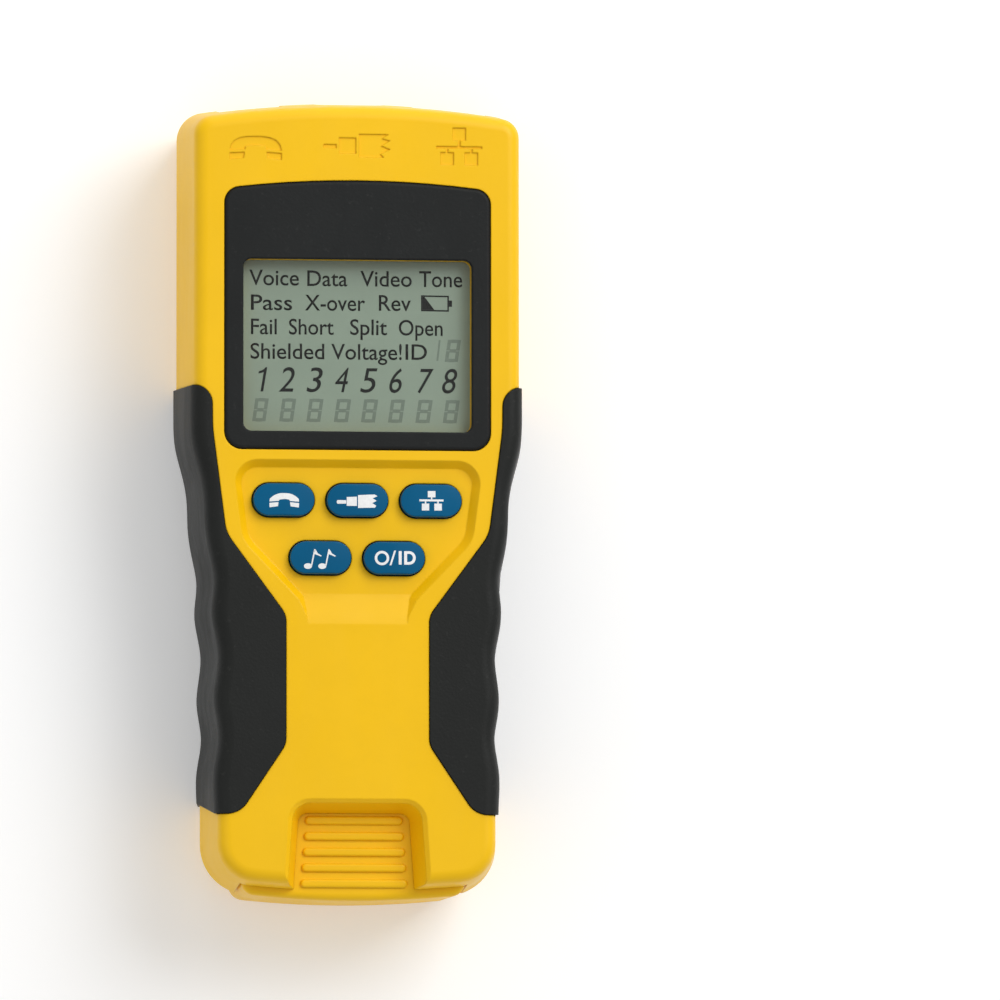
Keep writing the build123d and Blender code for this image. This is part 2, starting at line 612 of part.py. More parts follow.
with BuildPart() as lcd_backlight:
    with BuildSketch(Plane.XY.offset(27.4)):
        with Locations((0, LCD_CY)):
            Rectangle(51.2, 39.4)
    extrude(amount=2.8)
save(lcd_backlight.part, "lcd_backlight")

with BuildPart() as lcd_frame:
    with BuildSketch(Plane.XY.offset(PCB_Z1)):
        with Locations((0, LCD_CY)):
            RectangleRounded(54.2, 42.4, 1.0)
    extrude(amount=Z_LCD - PCB_Z1)
    add(box(-25.7, 25.7, LCD_CY - 19.8, LCD_CY + 19.8, 27.35, 32.98), mode=Mode.SUBTRACT)
    add(box(-24.9, 24.9, LCD_CY - 18.9, LCD_CY + 18.9, 30, 40), mode=Mode.SUBTRACT)
save(lcd_frame.part, "lcd_frame")

# ------------------------------------------------------------------ circuit board and what sits on it
PCB_PLAN = offset(OUTLINE, amount=-4.3, kind=Kind.ARC)
with BuildPart() as main_board:
    with BuildSketch(Plane.XY.offset(PCB_Z0)) as board:
        add(PCB_PLAN)
        with Locations((0, 26.5)):
            Rectangle(90, 107, mode=Mode.INTERSECT)
        with Locations(*SCREW_POS[:2]):
            Circle(3.5, mode=Mode.SUBTRACT)
        with Locations(*PCB_SCREW_POS):
            Circle(1.1, mode=Mode.SUBTRACT)
        with Locations((0, 80)):
            Rectangle(19.4, 13, mode=Mode.SUBTRACT)
    extrude(amount=PCB_Z1 - PCB_Z0)
save(main_board.part, "main_board")

with BuildPart() as controller_chip:
    with Locations((0, 38, PCB_Z0 - 0.7)):
        Box(12, 12, 1.4)
    chamfer(controller_chip.edges().filter_by(Axis.Z), 0.6)
    for i in range(11):
        for sx in (-1, 1):
            add(box(min(sx * 5.9, sx * 7.3), max(sx * 5.9, sx * 7.3), 33.0 + i - 0.2, 33.0 + i + 0.2, PCB_Z0 - 0.45, PCB_Z0))
            add(box(-5.0 + i - 0.2, -5.0 + i + 0.2, min(38 + sx * 5.9, 38 + sx * 7.3), max(38 + sx * 5.9, 38 + sx * 7.3), PCB_Z0 - 0.45, PCB_Z0))
save(controller_chip.part, "controller_chip")

with BuildPart() as driver_chips:
    for x, y in ((-16, 50), (16, 50)):
        with Locations((x, y, PCB_Z0 - 0.85)):
            Box(9.9, 4.0, 1.7)
        for i in range(8):
            add(box(x - 4.45 + i * 1.27 - 0.2, x - 4.45 + i * 1.27 + 0.2, y - 3.0, y + 3.0, PCB_Z0 - 0.5, PCB_Z0))
save(driver_chips.part, "driver_chips")

with BuildPart() as crystal_can:
    with BuildSketch(Plane.XY.offset(PCB_Z0 - 3.4)):
        with Locations((0, 24)):
            SlotOverall(11.0, 4.6)
    extrude(amount=3.4)
    fillet(crystal_can.edges().group_by(Axis.Z)[0], 0.6)
save(crystal_can.part, "crystal_can")

with BuildPart() as smoothing_capacitors:
    for x, y in ((-22, 28), (22, 28)):
        with Locations((x, y, PCB_Z0 - 0.5)):
            Box(6.6, 6.6, 1.0)
        with Locations((x, y, PCB_Z0 - 3.6)):
            Cylinder(3.1, 5.4)
save(smoothing_capacitors.part, "smoothing_capacitors")

with BuildPart() as board_screws:
    with BuildSketch(Plane.XY.offset(PCB_Z0 - 1.4)):
        with Locations(*PCB_SCREW_POS):
            Circle(2.1)
    extrude(amount=1.4)
    fillet(board_screws.edges().group_by(Axis.Z)[0], 0.5)
    with BuildSketch(Plane.XY.offset(PCB_Z0)):
        with Locations(*PCB_SCREW_POS):
            Circle(0.8)
    extrude(amount=7.0)
    with BuildSketch(Plane.XY.offset(PCB_Z0 - 1.4)):
        with Locations(*PCB_SCREW_POS):
            Rectangle(2.2, 0.5)
            Rectangle(0.5, 2.2)
    extrude(amount=0.7, mode=Mode.SUBTRACT)
save(board_screws.part, "board_screws")

with BuildPart() as case_screws:
    with BuildSketch(Plane.XY.offset(8.9)):
        with Locations(*SCREW_POS):
            Circle(2.6)
    extrude(amount=2.1)
    fillet(case_screws.edges().group_by(Axis.Z)[0], 0.7)
    with BuildSketch(Plane.XY.offset(11.0)):
        with Locations(*SCREW_POS):
            Circle(1.15)
    extrude(amount=16.5)
    with BuildSketch(Plane.XY.offset(8.9)):
        with Locations(*SCREW_POS):
            Rectangle(3.0, 0.65)
            Rectangle(0.65, 3.0)
    extrude(amount=1.2, mode=Mode.SUBTRACT)
save(case_screws.part, "case_screws")

# ------------------------------------------------------------------ keys
with BuildPart() as keypad_mat:
    with BuildSketch(Plane.XY.offset(PCB_Z1)):
        with BuildLine():
            Polyline((-25.6, 7.6), (25.6, 7.6), (23.6, -7.6), (17.0, -19.6), (-17.0, -19.6), (-23.6, -7.6), close=True)
        make_face()
    extrude(amount=0.9)
    with BuildSketch(Plane.XY.offset(PCB_Z1)):
        with Locations(*KEYS.values()):
            SlotOverall(13.0, 7.6)
    extrude(amount=3.2)
    with BuildSketch(Plane.XY.offset(PCB_Z1)):
        with Locations(*KEYS.values()):
            SlotOverall(10.4, 5.0)
    extrude(amount=5, mode=Mode.SUBTRACT)
save(keypad_mat.part, "keypad_mat")

for name, (kx, ky) in KEYS.items():
    with BuildPart() as dome:
        with Locations((kx, ky, Z_KEYTOP - 46.0)):
            Sphere(46.0)
    with BuildPart() as key:
        with BuildSketch(Plane.XY.offset(32.0)):
            with Locations((kx, ky)):
                SlotOverall(KEY_W, KEY_H)
        extrude(amount=Z_KEYTOP - 32.0)
        fillet(key.edges().group_by(Axis.Z)[-1], 0.75)
        add(dome.part, mode=Mode.INTERSECT)
        with BuildSketch(Plane.XY.offset(31.2)):
            with Locations((kx, ky)):
                SlotOverall(15.4, 9.2)
        extrude(amount=1.1)
        with BuildSketch(Plane.XY.offset(27.9)):
            with Locations((kx, ky)):
                SlotOverall(9.4, 4.0)
        extrude(amount=3.4)
    save(key.part, f"key_{name}")
    with BuildPart() as pill:
        with BuildSketch(Plane.XY.offset(27.3)):
            with Locations((kx, ky)):
                SlotOverall(7.0, 2.8)
        extrude(amount=0.6)
    save(pill.part, f"contact_pill_{name}")


# ------------------------------------------------------------------ jacks
# Both kinds are drawn hanging under a board, mouth towards +Y, then moved into place:
# x centre 0, mouth at y = 0, board underside at z = 0.
def jack_shell(w, h, length, t=0.35):
    with BuildPart() as p:
        add(box(-w / 2, w / 2, -length, 0, -h, 0))
        add(box(-w / 2 + t, w / 2 - t, -length + t, 1, -h + t, -t), mode=Mode.SUBTRACT)
        add(box(-4.4, 4.4, -14.4, -12.7, -t - 0.1, 1), mode=Mode.SUBTRACT)
    return p.part


def contact_profile(depth, roof, tip_z, t, grow=0.0):
    """Bent wire seen from the side: tail up to the board, run along the roof, return into the socket."""
    with BuildSketch() as s:
        with BuildLine():
            Polyline(
                (-depth - 1.0, 0.0), (-depth - 1.0, roof), (-1.6, roof), (-1.3, roof - 0.9), (-depth + 3.6, tip_z),
            )
        trace(line_width=t + 2 * grow)
    return s.sketch


def jack_contacts(n, pitch, depth, roof, tip_z, t=0.35, w=0.4, grow=0.0):
    with BuildPart() as p:
        for i in range(n):
            x = (i - (n - 1) / 2) * pitch
            with BuildSketch(Plane.YZ.offset(x - w / 2 - grow)):
                add(contact_profile(depth, roof, tip_z, t, grow))
            extrude(amount=w + 2 * grow)
    return p.part


def jack_insert(w, h, length, sock_w, sock_h, depth, latch_w, latch_d, contacts_cut):
    z_top = -h + 2.2 + latch_d + sock_h
    with BuildPart() as p:
        add(box(-w / 2, w / 2, -length, 0, -h, 0))
        add(box(-sock_w / 2, sock_w / 2, -depth, 1, -h + 2.2 + latch_d, z_top), mode=Mode.SUBTRACT)
        add(box(-latch_w / 2, latch_w / 2, -depth, 1, -h + 2.2, -h + 2.3 + latch_d), mode=Mode.SUBTRACT)
        add(box(-latch_w / 2 - 1.4, latch_w / 2 + 1.4, -depth, 1, -h + 2.2 + latch_d * 0.55, -h + 2.3 + latch_d), mode=Mode.SUBTRACT)
        add(contacts_cut, mode=Mode.SUBTRACT)
        mouth = p.edges().filter_by(lambda e: abs(e.center().Y) < 0.01).filter_by(Axis.X).sort_by(Axis.Z)
    return p.part


def coax_body(boss, barrel_l, r=COAX_R):
    """Threaded barrel along +Y from y = 0, with its shoulder and square base behind it."""
    with BuildPart() as p:
        add(box(-boss / 2, boss / 2, -11.0, -1.6, -boss / 2, boss / 2))
        with BuildSketch(Plane.XZ.offset(1.6)):
            RegularPolygon(radius=6.2, side_count=6)
        extrude(amount=-1.6)
        with BuildSketch(Plane.XZ):
            Circle(r)
        extrude(amount=-barrel_l)
        chamfer(p.edges().sort_by(Axis.Y)[-1], 0.35)
        # relief behind the thread, where the barrel passes the wall of the case
        with BuildSketch(Plane.XZ):
            Circle(r + 1)
            Circle(r - 0.36, mode=Mode.SUBTRACT)
        extrude(amount=-1.7, mode=Mode.SUBTRACT)
        with BuildSketch(Plane.XZ.offset(-barrel_l - 1)):
            Circle(3.9)
        extrude(amount=barrel_l + 8.5, mode=Mode.SUBTRACT)
    return p.part


def coax_insulator(barrel_l, recess):
    with BuildPart() as p:
        with BuildSketch(Plane.XZ.offset(7.4)):
            Circle(3.85)
        extrude(amount=-(7.4 + barrel_l - recess))
        with BuildSketch(Plane.XZ.offset(8)):
            Circle(1.0)
        extrude(amount=-30, mode=Mode.SUBTRACT)
    return p.part


def coax_contact(barrel_l, recess):
    """Slotted female centre contact with its tail at the back."""
    with BuildPart() as p:
        with BuildSketch(Plane.XZ.offset(7.3)):
            Circle(0.9)
        extrude(amount=-(7.3 + barrel_l - recess - 0.5))
        with BuildSketch(Plane.XZ.offset(-(barrel_l - recess))):
            Circle(0.5)
        extrude(amount=7.0, mode=Mode.SUBTRACT)
        add(box(-0.15, 0.15, barrel_l - recess - 4.5, barrel_l - recess, -2, 2), mode=Mode.SUBTRACT)
    return p.part


NET_CUT = jack_contacts(8, 1.05, 12.5, -1.0, -4.2, grow=0.09)
NET_PINS = jack_contacts(8, 1.05, 12.5, -1.0, -4.2)
TEL_CUT = jack_contacts(6, 1.05, 11.5, -1.0, -3.6, grow=0.09)
TEL_PINS = jack_contacts(6, 1.05, 11.5, -1.0, -3.6)
NET_SHELL = jack_shell(NET_W, NET_H, NET_L)
NET_INSERT = jack_insert(NET_W - 0.8, NET_H - 0.8, NET_L - 0.5, 11.9, 7.0, 12.5, 5.2, 1.9, Pos(0, 0, 0.4) * NET_CUT)
TEL_INSERT = jack_insert(TEL_W, TEL_H, TEL_L, 9.9, 7.0, 11.5, 4.0, 1.1, TEL_CUT)

COAX_BASE_Y = 74.0
COAX_BARREL = 8.6
PLACES = {
    "network_jack_shell": (Pos(PORT_X, JACK_FACE_Y, PCB_Z0), NET_SHELL),
    "network_jack_insert": (Pos(PORT_X, JACK_FACE_Y - 0.1, PCB_Z0 - 0.4), NET_INSERT),
    "network_jack_contacts": (Pos(PORT_X, JACK_FACE_Y - 0.1, PCB_Z0), NET_PINS),
    "phone_jack_body": (Pos(-PORT_X, JACK_FACE_Y, PCB_Z0), TEL_INSERT),
    "phone_jack_contacts": (Pos(-PORT_X, JACK_FACE_Y, PCB_Z0), TEL_PINS),
    "coax_jack_body": (Pos(0, COAX_BASE_Y, COAX_Z), coax_body(12.2, COAX_BARREL)),
    "coax_jack_insulator": (Pos(0, COAX_BASE_Y, COAX_Z), coax_insulator(COAX_BARREL, 0.5)),
    "coax_jack_contact": (Pos(0, COAX_BASE_Y, COAX_Z), coax_contact(COAX_BARREL, 0.5)),
}
for name, (place, shape) in PLACES.items():
    with BuildPart() as jack_piece:
        add(place * shape)
    save(jack_piece.part, name)

# ------------------------------------------------------------------ battery and its snap connector
BAT_ZC = BAT_Z0 + BAT_T / 2
BAT_Y1 = BAT_Y0 + BAT_L
TERM_X = 6.35
with BuildPart() as battery:
    with BuildSketch(Plane.XZ.offset(-BAT_Y0)):
        with Locations((0, BAT_ZC)):
            RectangleRounded(BAT_W, BAT_T, 3.2)
    extrude(amount=-BAT_L)
    chamfer(battery.edges().group_by(Axis.Y)[0] + battery.edges().group_by(Axis.Y)[-1], 0.5)
save(battery.part, "battery")

with BuildPart() as battery_terminals:
    with BuildSketch(Plane.XZ.offset(-BAT_Y1)):
        with Locations((-TERM_X, BAT_ZC)):
            Circle(2.7)
    extrude(amount=-2.3)
    with BuildSketch(Plane.XZ.offset(-BAT_Y1)):
        with Locations((TERM_X, BAT_ZC)):
            RegularPolygon(radius=4.5, side_count=6)
    extrude(amount=-2.3)
    with BuildSketch(Plane.XZ.offset(-BAT_Y1 - 0.4)):
        with Locations((TERM_X, BAT_ZC)):
            Circle(3.1)
    extrude(amount=-3, mode=Mode.SUBTRACT)
save(battery_terminals.part, "battery_terminals")

with BuildPart() as battery_snap:
    with BuildSketch(Plane.XZ.offset(-BAT_Y1 - 2.5)):
        with Locations((0, BAT_ZC)):
            RectangleRounded(25.4, 12.0, 4.0)
    extrude(amount=-1.9)
    with BuildSketch(Plane.XZ.offset(-BAT_Y1 - 0.6)):
        with Locations((TERM_X, BAT_ZC)):
            Circle(2.7)
    extrude(amount=-2.2)
    with BuildSketch(Plane.XZ.offset(-BAT_Y1 - 0.3)):
        with Locations((-TERM_X, BAT_ZC)):
            Circle(4.4)
            Circle(2.95, mode=Mode.SUBTRACT)
    extrude(amount=-2.4)
save(battery_snap.part, "battery_snap")

for name, x in (("battery_lead_red", 1.4), ("battery_lead_black", -1.4)):
    with BuildPart() as lead:
        with BuildLine() as run:
            a = Line((x, BAT_Y1 + 4.4, BAT_ZC + 1.0), (x, BAT_Y1 + 4.8, BAT_ZC + 1.0))
            b = Bezier(
                (x, BAT_Y1 + 4.8, BAT_ZC + 1.0), (x, BAT_Y1 + 6.4, BAT_ZC + 1.0), (x, BAT_Y1 + 4.4, BAT_ZC + 7.6),
                (x, BAT_Y1 + 6.9, BAT_ZC + 7.6),
            )
            c = Line(b @ 1, (x, 13.4, BAT_ZC + 7.6))
            d = TangentArc((x, 13.4, BAT_ZC + 7.6), (x, 15.6, BAT_ZC + 9.8), tangent=(0, 1, 0))
            e = Line(d @ 1, (x, 15.6, PCB_Z0))
        with BuildSketch(Plane(origin=run.line @ 0, z_dir=run.line % 0)):
            Circle(0.75)
        sweep(path=run.line)
    save(lead.part, name)

# ------------------------------------------------------------------ remote
def remote_plan(inset=0.0):
    with BuildSketch() as s:
        with BuildLine():
            Line((-REM_HW, REM_Y_IN), (REM_HW, REM_Y_IN))
            Line((REM_HW, REM_Y_IN), (REM_HW, REM_Y_END + 1.4))
            ThreePointArc((REM_HW, REM_Y_END + 1.4), (0, REM_Y_END), (-REM_HW, REM_Y_END + 1.4))
            Line((-REM_HW, REM_Y_END + 1.4), (-REM_HW, REM_Y_IN))
        make_face()
        fillet(s.vertices().filter_by(lambda v: v.Y < -70), 3.2)
        fillet(s.vertices().filter_by(lambda v: v.Y > -70), 1.6)
        if inset:
            offset(s.sketch, amount=-inset, kind=Kind.ARC, mode=Mode.REPLACE)
    return s.sketch


REM_PLAN = remote_plan()
REM_CAV = remote_plan(REM_WALL)
RB_Z = 20.2                    # underside of the remote's board
R_TEL_X, R_NET_X = -14.4, 14.4
R_COAX_Z = RB_Z - 6.3
R_FACE_Y = REM_Y_IN + 0.2 - 0.4
REM_SCREWS = [(-19.6, -76.5), (19.6, -76.5)]

REM_JACK_CUT = (
    box(R_NET_X - NET_W / 2 - 0.12, R_NET_X + NET_W / 2 + 0.12, REM_Y_IN - 3, REM_Y_IN + 3, RB_Z - NET_H - 0.12, RB_Z + 0.12)
    + box(R_TEL_X - TEL_W / 2 - 0.12, R_TEL_X + TEL_W / 2 + 0.12, REM_Y_IN - 3, REM_Y_IN + 3, RB_Z - TEL_H - 0.12, RB_Z + 0.12)
)

with BuildPart() as remote_front:
    with BuildSketch(Plane.XY.offset(REM_SPLIT)):
        add(REM_PLAN)
    extrude(amount=REM_Z1 - REM_SPLIT)
    fillet(remote_front.edges().group_by(Axis.Z)[-1], 1.5)
    with BuildSketch(Plane.XY.offset(REM_SPLIT)):
        add(REM_CAV)
    extrude(amount=REM_Z1 - REM_WALL - REM_SPLIT, mode=Mode.SUBTRACT)
    with BuildSketch(Plane.XY.offset(RB_Z + 1.6)):
        with Locations(*REM_SCREWS):
            Circle(3.2)
    extrude(amount=REM_Z1 - 1 - RB_Z - 1.6)
    with BuildSketch(Plane.XY.offset(RB_Z)):
        with Locations(*REM_SCREWS):
            Circle(0.9)
    extrude(amount=6.8, mode=Mode.SUBTRACT)
    # thumb ribs
    for i in range(5):
        y = -68.45 - 3.37 * i
        with BuildSketch(Plane.XY.offset(REM_Z1 - 0.4)):
            with Locations((0, y)):
                SlotOverall(21.0 + 0.5 * i, 1.75)
        extrude(amount=1.15)
    fillet(remote_front.edges().group_by(Axis.Z)[-1], 0.5)
    add(REM_JACK_CUT, mode=Mode.SUBTRACT)
    with BuildSketch(Plane.XZ.offset(-REM_Y_IN + 5)):
        with Locations((0, R_COAX_Z)):
            Circle(5.2)
    extrude(amount=-10, mode=Mode.SUBTRACT)
save(remote_front.part, "remote_front")

with BuildPart() as remote_rear:
    with BuildSketch(Plane.XY.offset(REM_Z0)):
        add(REM_PLAN)
    extrude(amount=REM_SPLIT - REM_Z0)
    fillet(remote_rear.edges().group_by(Axis.Z)[0], 1.5)
    with BuildSketch(Plane.XY.offset(REM_Z0 + REM_WALL)):
        add(REM_CAV)
    extrude(amount=REM_SPLIT - REM_Z0, mode=Mode.SUBTRACT)
    with BuildSketch(Plane.XY.offset(REM_Z0 + 0.5)):
        with Locations(*REM_SCREWS):
            Circle(3.2)
    extrude(amount=REM_SPLIT - REM_Z0 - 0.5)
    with BuildSketch(Plane.XY.offset(REM_SPLIT)):
        with Locations(*REM_SCREWS):
            Circle(2.3)
    extrude(amount=RB_Z - REM_SPLIT)
    with BuildSketch(Plane.XY.offset(REM_Z0 - 1)):
        with Locations(*REM_SCREWS):
            Circle(1.25)
    extrude(amount=30, mode=Mode.SUBTRACT)
    with BuildSketch(Plane.XY.offset(REM_Z0 - 1)):
        with Locations(*REM_SCREWS):
            Circle(2.15)
    extrude(amount=6.0, mode=Mode.SUBTRACT)
    add(REM_JACK_CUT, mode=Mode.SUBTRACT)
    with BuildSketch(Plane.XZ.offset(-REM_Y_IN + 5)):
        with Locations((0, R_COAX_Z)):
            Circle(5.2)
    extrude(amount=-10, mode=Mode.SUBTRACT)
save(remote_rear.part, "remote_rear")

with BuildPart() as remote_board:
    with BuildSketch(Plane.XY.offset(RB_Z)):
        with Locations((0, -65.4)):
            RectangleRounded(44.8, 29.6, 1.0)
        with Locations(*REM_SCREWS):
            Circle(1.15, mode=Mode.SUBTRACT)
    extrude(amount=1.5)
save(remote_board.part, "remote_board")

with BuildPart() as remote_screws:
    with BuildSketch(Plane.XY.offset(REM_Z0 + 3.6)):
        with Locations(*REM_SCREWS):
            Circle(2.0)
    extrude(amount=1.4)
    fillet(remote_screws.edges().group_by(Axis.Z)[0], 0.5)
    with BuildSketch(Plane.XY.offset(REM_Z0 + 5.0)):
        with Locations(*REM_SCREWS):
            Circle(0.85)
    extrude(amount=17.5)
    with BuildSketch(Plane.XY.offset(REM_Z0 + 3.6)):
        with Locations(*REM_SCREWS):
            Rectangle(2.3, 0.5)
            Rectangle(0.5, 2.3)
    extrude(amount=0.8, mode=Mode.SUBTRACT)
save(remote_screws.part, "remote_screws")

REMOTE_PLACES = {
    "remote_network_shell": (Pos(R_NET_X, R_FACE_Y, RB_Z), NET_SHELL),
    "remote_network_insert": (
        Pos(R_NET_X, R_FACE_Y - 0.1, RB_Z - 0.4),
        NET_INSERT,
    ),
    "remote_network_contacts": (Pos(R_NET_X, R_FACE_Y - 0.1, RB_Z), NET_PINS),
    "remote_phone_body": (Pos(R_TEL_X, R_FACE_Y, RB_Z), TEL_INSERT),
    "remote_phone_contacts": (Pos(R_TEL_X, R_FACE_Y, RB_Z), TEL_PINS),
    "remote_coax_body": (Pos(0, REM_Y_IN - 9.4, R_COAX_Z), coax_body(12.2, 9.0)),
    "remote_coax_insulator": (Pos(0, REM_Y_IN - 9.4, R_COAX_Z), coax_insulator(9.0, 0.5)),
    "remote_coax_contact": (Pos(0, REM_Y_IN - 9.4, R_COAX_Z), coax_contact(9.0, 0.5)),
}
for name, (place, shape) in REMOTE_PLACES.items():
    with BuildPart() as remote_piece:
        add(place * shape)
    save(remote_piece.part, name)
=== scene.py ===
import json
import math

import bmesh
import bpy
from mathutils import Matrix, Vector


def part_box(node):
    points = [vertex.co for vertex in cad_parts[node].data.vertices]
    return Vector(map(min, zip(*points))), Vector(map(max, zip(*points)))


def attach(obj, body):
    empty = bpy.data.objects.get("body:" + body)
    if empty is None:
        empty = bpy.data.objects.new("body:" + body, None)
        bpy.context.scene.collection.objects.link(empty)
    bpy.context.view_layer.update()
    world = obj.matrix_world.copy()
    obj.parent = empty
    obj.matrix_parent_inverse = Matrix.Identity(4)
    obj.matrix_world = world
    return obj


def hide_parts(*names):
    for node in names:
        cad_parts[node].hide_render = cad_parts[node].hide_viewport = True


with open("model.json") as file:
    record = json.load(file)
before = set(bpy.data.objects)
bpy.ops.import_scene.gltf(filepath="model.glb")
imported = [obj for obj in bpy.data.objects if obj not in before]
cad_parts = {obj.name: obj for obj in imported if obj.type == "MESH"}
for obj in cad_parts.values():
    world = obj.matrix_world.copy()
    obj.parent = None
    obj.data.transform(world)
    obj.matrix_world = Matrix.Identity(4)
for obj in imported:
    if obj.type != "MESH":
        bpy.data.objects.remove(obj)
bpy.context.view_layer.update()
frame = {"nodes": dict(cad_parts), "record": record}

NODES = frame["nodes"]
SCENE = bpy.context.scene


# ---------------------------------------------------------------- colour helpers
def lin(r, g, b):
    """8-bit display colour to linear RGBA."""
    def f(c):
        c /= 255.0
        return c / 12.92 if c <= 0.04045 else ((c + 0.055) / 1.055) ** 2.4
    return (f(r), f(g), f(b), 1.0)


def mul(c, k):
    return (c[0] * k, c[1] * k, c[2] * k, 1.0)


# ---------------------------------------------------------------- node helpers
class Net:
    """Short-hand for building a material's node tree."""

    def __init__(self, name):
        self.mat = bpy.data.materials.new(name)
        self.mat.use_nodes = True
        self.t = self.mat.node_tree
        self.t.nodes.clear()
        self.out = self.n("ShaderNodeOutputMaterial")
        self.co = self.n("ShaderNodeTexCoord").outputs["Object"]

    def n(self, kind, **props):
        node = self.t.nodes.new(kind)
        for k, v in props.items():
            setattr(node, k, v)
        return node

    def link(self, a, b):
        self.t.links.new(a, b)

    def put(self, socket, value):
        if hasattr(value, "is_linked") or isinstance(value, bpy.types.NodeSocket):
            self.link(value, socket)
        else:
            socket.default_value = value

    def noise(self, scale, detail=3.0, rough=0.5, stretch=None, distort=0.0):
        vec = self.co
        if stretch:
            m = self.n("ShaderNodeMapping")
            self.link(vec, m.inputs["Vector"])
            m.inputs["Scale"].default_value = stretch
            m.inputs["Rotation"].default_value = (0.3, 0.2, 0.5)
            vec = m.outputs["Vector"]
        n = self.n("ShaderNodeTexNoise")
        self.link(vec, n.inputs["Vector"])
        n.inputs["Scale"].default_value = scale
        n.inputs["Detail"].default_value = detail
        n.inputs["Roughness"].default_value = rough
        n.inputs["Distortion"].default_value = distort
        return n.outputs["Fac"]

    def voronoi(self, scale, feature="F1"):
        n = self.n("ShaderNodeTexVoronoi", feature=feature)
        self.link(self.co, n.inputs["Vector"])
        n.inputs["Scale"].default_value = scale
        return n.outputs["Distance"]

    def ramp(self, fac, lo, hi, a=0.0, b=1.0):
        n = self.n("ShaderNodeMapRange")
        n.interpolation_type = "SMOOTHSTEP"
        self.put(n.inputs["Value"], fac)
        n.inputs["From Min"].default_value = lo
        n.inputs["From Max"].default_value = hi
        n.inputs["To Min"].default_value = a
        n.inputs["To Max"].default_value = b
        return n.outputs["Result"]

    def math(self, op, a, b=0.0):
        n = self.n("ShaderNodeMath", operation=op)
        self.put(n.inputs[0], a)
        self.put(n.inputs[1], b)
        return n.outputs[0]

    def mix(self, fac, a, b, blend="MIX"):
        n = self.n("ShaderNodeMix", data_type="RGBA", blend_type=blend)
        self.put(n.inputs[0], fac)
        self.put(n.inputs[6], a)
        self.put(n.inputs[7], b)
        return n.outputs[2]

    def edges(self, radius=0.0007, lo=0.02, hi=0.25):
        """Mask of 1 along sharp edges, from a bevelled normal against the true one."""
        bev = self.n("ShaderNodeBevel", samples=4)
        bev.inputs["Radius"].default_value = radius
        geo = self.n("ShaderNodeNewGeometry")
        dot = self.n("ShaderNodeVectorMath", operation="DOT_PRODUCT")
        self.link(bev.outputs[0], dot.inputs[0])
        self.link(geo.outputs["Normal"], dot.inputs[1])
        inv = self.math("SUBTRACT", 1.0, dot.outputs["Value"])
        return self.ramp(inv, lo, hi)

    def bump(self, height, strength, distance, normal=None):
        n = self.n("ShaderNodeBump")
        n.inputs["Strength"].default_value = strength
        n.inputs["Distance"].default_value = distance
        self.put(n.inputs["Height"], height)
        if normal is not None:
            self.link(normal, n.inputs["Normal"])
        return n.outputs["Normal"]

    def soft_edges(self, radius):
        bev = self.n("ShaderNodeBevel", samples=4)
        bev.inputs["Radius"].default_value = radius
        return bev.outputs[0]

    def shader(self, color, rough, normal=None, metallic=0.0, spec=0.5, coat=0.0, coat_rough=0.2, sheen=0.0, sss=0.0, sss_r=None):
        b = self.n("ShaderNodeBsdfPrincipled")
        self.put(b.inputs["Base Color"], color)
        self.put(b.inputs["Roughness"], rough)
        b.inputs["Metallic"].default_value = metallic
        b.inputs["Specular IOR Level"].default_value = spec
        b.inputs["Coat Weight"].default_value = coat
        b.inputs["Coat Roughness"].default_value = coat_rough
        b.inputs["Sheen Weight"].default_value = sheen
        if sss:
            b.inputs["Subsurface Weight"].default_value = sss
            b.inputs["Subsurface Scale"].default_value = 0.0015
            b.inputs["Subsurface Radius"].default_value = sss_r or (1.0, 0.5, 0.1)
        if normal is not None:
            self.link(normal, b.inputs["Normal"])
        self.link(b.outputs[0], self.out.inputs["Surface"])
        return b


def moulded(name, color, rough=0.45, grain=2600.0, depth=0.00004, strength=0.35, mottle=0.05, wear=0.35, wear_to=1.25, soft=0.00018, sss=0.0, spec=0.5, sheen=0.0, dust=0.0):
    """Injection-moulded plastic: spark-eroded grain, slow colour drift, rubbed edges, handling smears."""
    m = Net(name)
    slow = m.noise(38.0, 2.0)
    mid = m.noise(260.0, 4.0, 0.6)
    col = m.mix(m.ramp(slow, 0.3, 0.7), mul(color, 1.0 - mottle), mul(color, 1.0 + mottle))
    col = m.mix(m.ramp(mid, 0.35, 0.75, 0.0, 0.35), col, mul(color, 1.0 - 2.0 * mottle))
    if dust:
        col = m.mix(m.ramp(m.noise(700.0, 5.0, 0.7), 0.58, 0.8, 0.0, dust), col, (0.45, 0.44, 0.42, 1.0))
    edge = m.edges()
    rub = m.math("MULTIPLY", edge, m.ramp(m.noise(420.0, 4.0), 0.35, 0.65, 0.25, 1.0))
    col = m.mix(m.math("MULTIPLY", rub, wear), col, mul(color, wear_to))
    smear = m.noise(90.0, 5.0, 0.65, stretch=(1.0, 0.25, 1.0), distort=0.6)
    r = m.ramp(smear, 0.3, 0.75, rough - 0.07, rough + 0.09)
    r = m.math("SUBTRACT", r, m.math("MULTIPLY", rub, 0.12))
    fine = m.math("ADD", m.noise(grain, 2.0, 0.55), m.math("MULTIPLY", m.voronoi(grain * 0.8), 0.6))
    nrm = m.bump(fine, strength, depth, m.soft_edges(soft))
    nrm = m.bump(m.noise(30.0, 1.0), 0.12, 0.0006, nrm)
    m.shader(col, r, nrm, spec=spec, sss=sss, sheen=sheen)
    return m.mat


